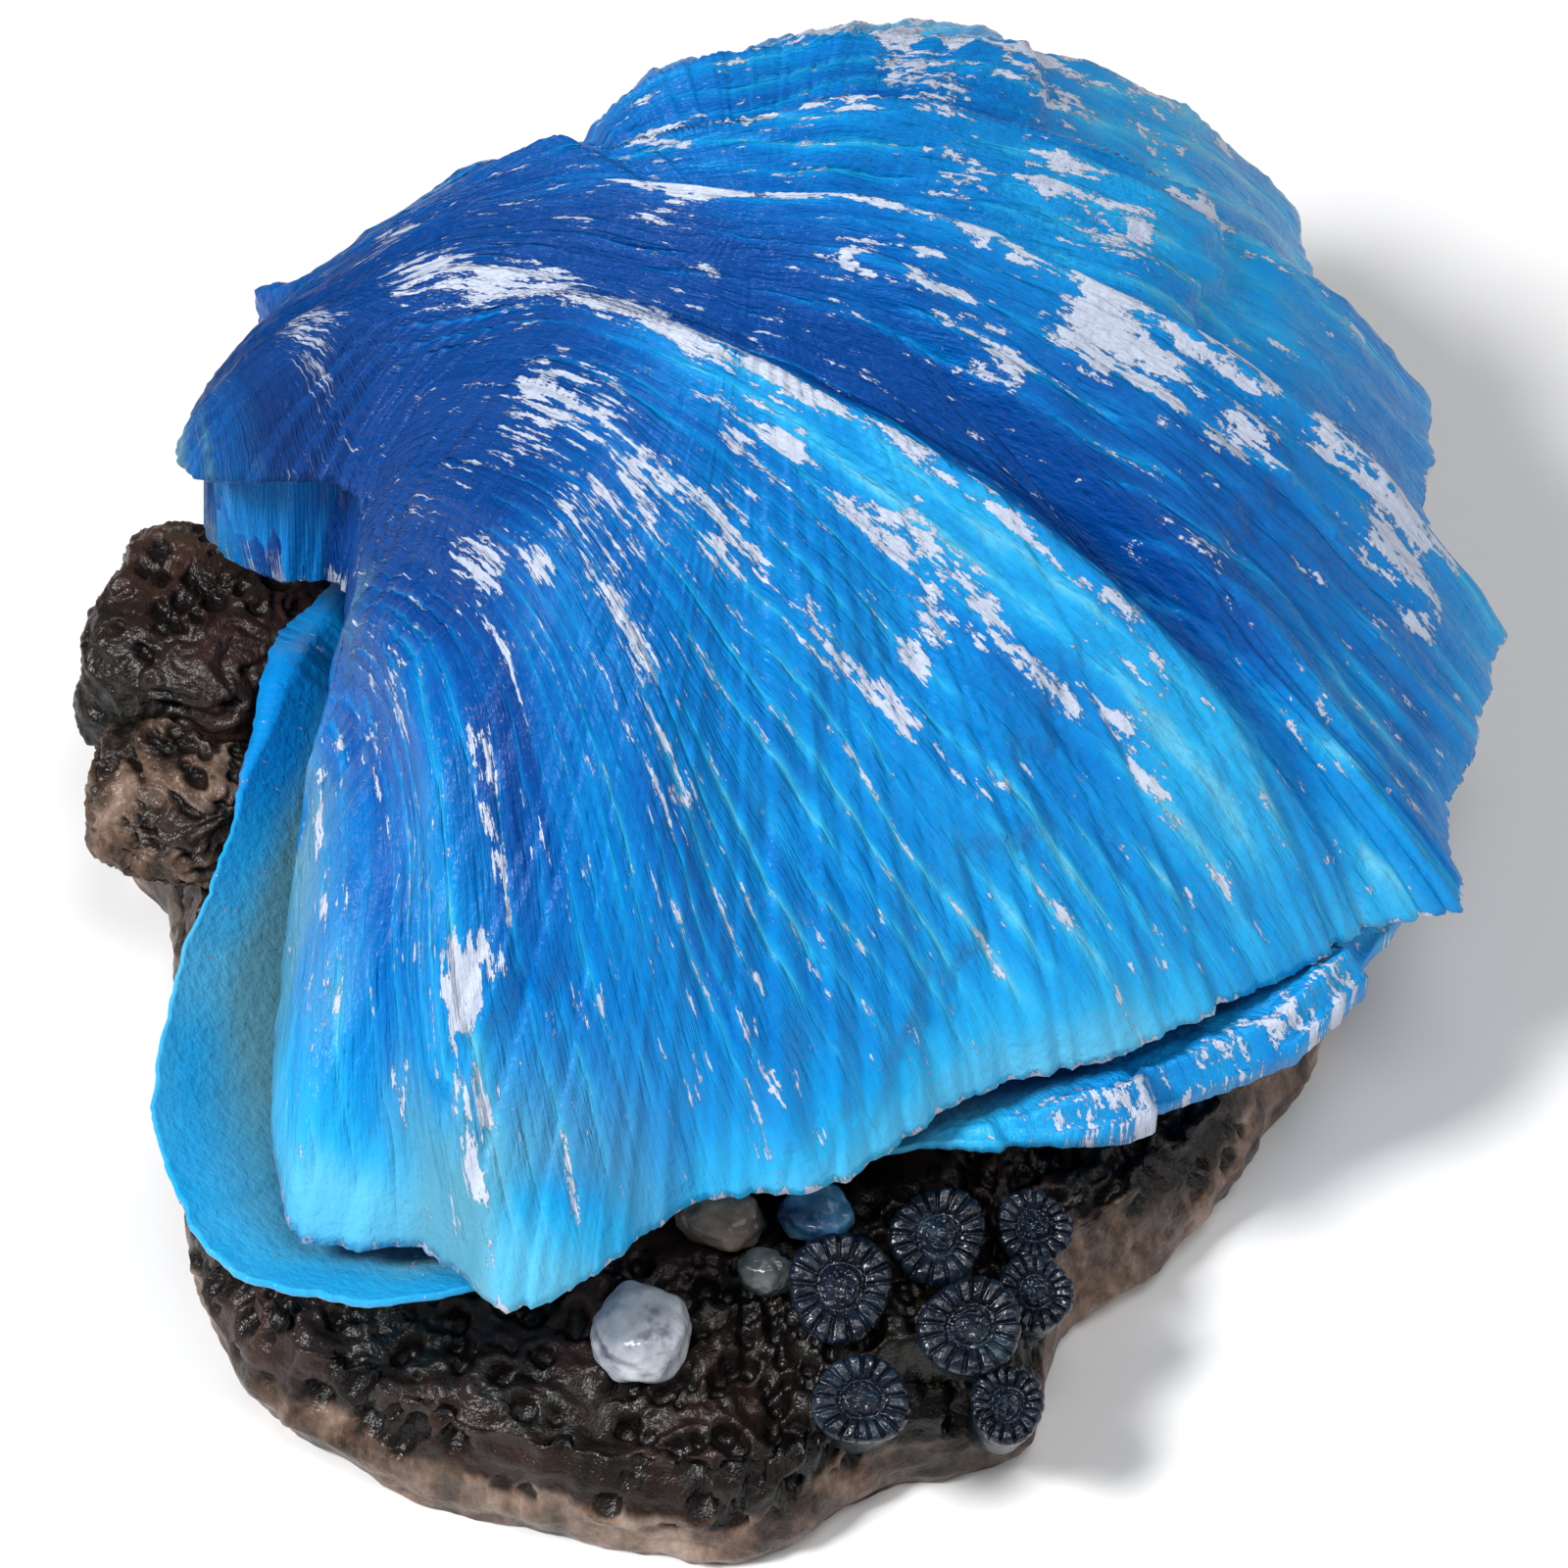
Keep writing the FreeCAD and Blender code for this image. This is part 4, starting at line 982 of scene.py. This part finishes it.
finish_piece(make_upper_valve(), "lid", "clam_paint", paint, "upper_valve")
finish_piece(make_lower_valve(), "base", "clam_paint", paint, "lower_valve")
finish_piece(make_rock(), "base", "rock", rock, "rock_base")
finish_piece(
    make_boulder("boulder_lower", "rear_boulder_lower", 3, 2.3, 0.98, 210), "base", "rock", rock,
    "rear_boulder_lower")
finish_piece(
    make_boulder("boulder_upper", "rear_boulder_upper", 5, 3.6, 0.36, 150), "base", "rock", rock,
    "rear_boulder_upper")
for number in range(1, POLYP_COUNT + 1):
    node = "button_polyp_%d" % number
    finish_piece(make_polyp(number, node), "base", "polyp", polyp_paint, node)

STONES = {
    "white_pebble": ("pebble", 0.10, 2.6, 1, (
        (0.34, (0.16, 0.18, 0.22)), (0.42, (0.36, 0.39, 0.45)), (0.55, (0.52, 0.55, 0.60)),
        (0.75, (0.60, 0.62, 0.66)))),
    "coral_nub_peach": ("coral_peach", 0.16, 2.2, 2, (
        (0.35, (0.10, 0.10, 0.10)), (0.5, (0.26, 0.22, 0.18)), (0.65, (0.38, 0.30, 0.23)))),
    "coral_nub_grey": ("coral_grey", 0.16, 2.2, 3, (
        (0.35, (0.02, 0.025, 0.03)), (0.5, (0.07, 0.085, 0.09)), (0.65, (0.16, 0.17, 0.16)))),
    "coral_nub_blue": ("coral_blue", 0.16, 2.2, 4, (
        (0.35, (0.02, 0.08, 0.18)), (0.5, (0.06, 0.22, 0.42)), (0.65, (0.20, 0.38, 0.55)))),
}
for node, (slot, bumps, squareness, seed, stops) in STONES.items():
    stone = make_stone(node + "_stone", node, bumps, squareness, seed)
    finish_piece(stone, "base", slot, stone_look(slot + "_look", stops), node)

# CAD pieces that are shown as they are
KEPT = {
    moulded_look("hinge_resin_look", (0.012, 0.16, 0.44), (0.02, 0.24, 0.55), 0.38):
        ("hinge_lug_left", "hinge_lug_right", "hinge_knuckle_left", "hinge_knuckle_right"),
    moulded_look("pin_steel_look", (0.52, 0.53, 0.54), (0.62, 0.63, 0.64), 0.22, 900.0, 1.0):
        ("hinge_pin",),
    moulded_look("air_plastic_look", (0.55, 0.58, 0.60), (0.66, 0.69, 0.71), 0.30):
        ("air_cup", "air_nozzle", "air_inlet_nipple"),
    moulded_look("airline_look", (0.40, 0.46, 0.48), (0.50, 0.56, 0.58), 0.35):
        ("air_tube",),
}
for material, nodes in KEPT.items():
    for node in nodes:
        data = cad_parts[node].data
        data.materials.clear()
        data.materials.append(material)

# -------------------------- stage
FLOOR_HALF = 1.2


def make_floor():
    """Plain pale sheet under the ornament."""
    mesh = bpy.data.meshes.new("floor")
    corners = [(-FLOOR_HALF, -FLOOR_HALF, 0), (FLOOR_HALF, -FLOOR_HALF, 0),
               (FLOOR_HALF, FLOOR_HALF, 0), (-FLOOR_HALF, FLOOR_HALF, 0)]
    mesh.from_pydata(corners, [], [(0, 1, 2, 3)])
    floor = bpy.data.objects.new("floor", mesh)
    bpy.context.collection.objects.link(floor)
    look = Look("floor_paper", roughness=0.8)
    drift = look.noise(look.place(), 6.0, 2.0)
    colour = look.ramp(drift, ((0.3, (0.84, 0.84, 0.85)), (0.7, (0.88, 0.88, 0.88))))
    mesh.materials.append(look.finish(colour))


def direction(azimuth, elevation):
    """Unit vector towards a camera or lamp; azimuth 0 is in front and 90 is along +X."""
    a, e = math.radians(azimuth), math.radians(elevation)
    return Vector((math.sin(a) * math.cos(e), -math.cos(a) * math.cos(e), math.sin(e)))


def soft_box(name, azimuth, elevation, distance, size, power):
    """Square lamp that faces the ornament: distance and size in metres, power in watts."""
    data = bpy.data.lights.new(name, "AREA")
    data.shape = "SQUARE"
    data.size = size
    data.energy = power
    lamp = bpy.data.objects.new(name, data)
    back = direction(azimuth, elevation)
    lamp.location = Vector(CAMERA_TARGET) * MM + back * distance
    lamp.rotation_mode = "QUATERNION"
    lamp.rotation_quaternion = back.to_track_quat("Z", "Y")
    bpy.context.collection.objects.link(lamp)


def make_camera():
    """Camera of the main view."""
    data = bpy.data.cameras.new("camera")
    data.lens = SENSOR_WIDTH * CAMERA_DISTANCE / CAMERA_SPAN
    data.sensor_width = SENSOR_WIDTH
    data.clip_start = 0.01
    camera = bpy.data.objects.new("camera", data)
    back = direction(CAMERA_AZIMUTH, CAMERA_ELEVATION)
    camera.location = (Vector(CAMERA_TARGET) + back * CAMERA_DISTANCE) * MM
    camera.rotation_mode = "QUATERNION"
    camera.rotation_quaternion = back.to_track_quat("Z", "Y")
    bpy.context.collection.objects.link(camera)
    bpy.context.scene.camera = camera


def make_world():
    """Even white light from all round, and colours shown as they are."""
    world = bpy.data.worlds.new("studio")
    world.use_nodes = True
    background = world.node_tree.nodes["Background"]
    background.inputs["Color"].default_value = (1.0, 1.0, 1.0, 1.0)
    background.inputs["Strength"].default_value = 0.20
    bpy.context.scene.world = world
    bpy.context.scene.view_settings.view_transform = "Standard"


make_floor()
soft_box("key", -130, 52, 0.9, 0.20, 8.6)
soft_box("top", -40, 74, 1.0, 0.35, 2.8)
soft_box("fill", 0, 35, 1.2, 0.8, 3.0)
make_world()
make_camera()
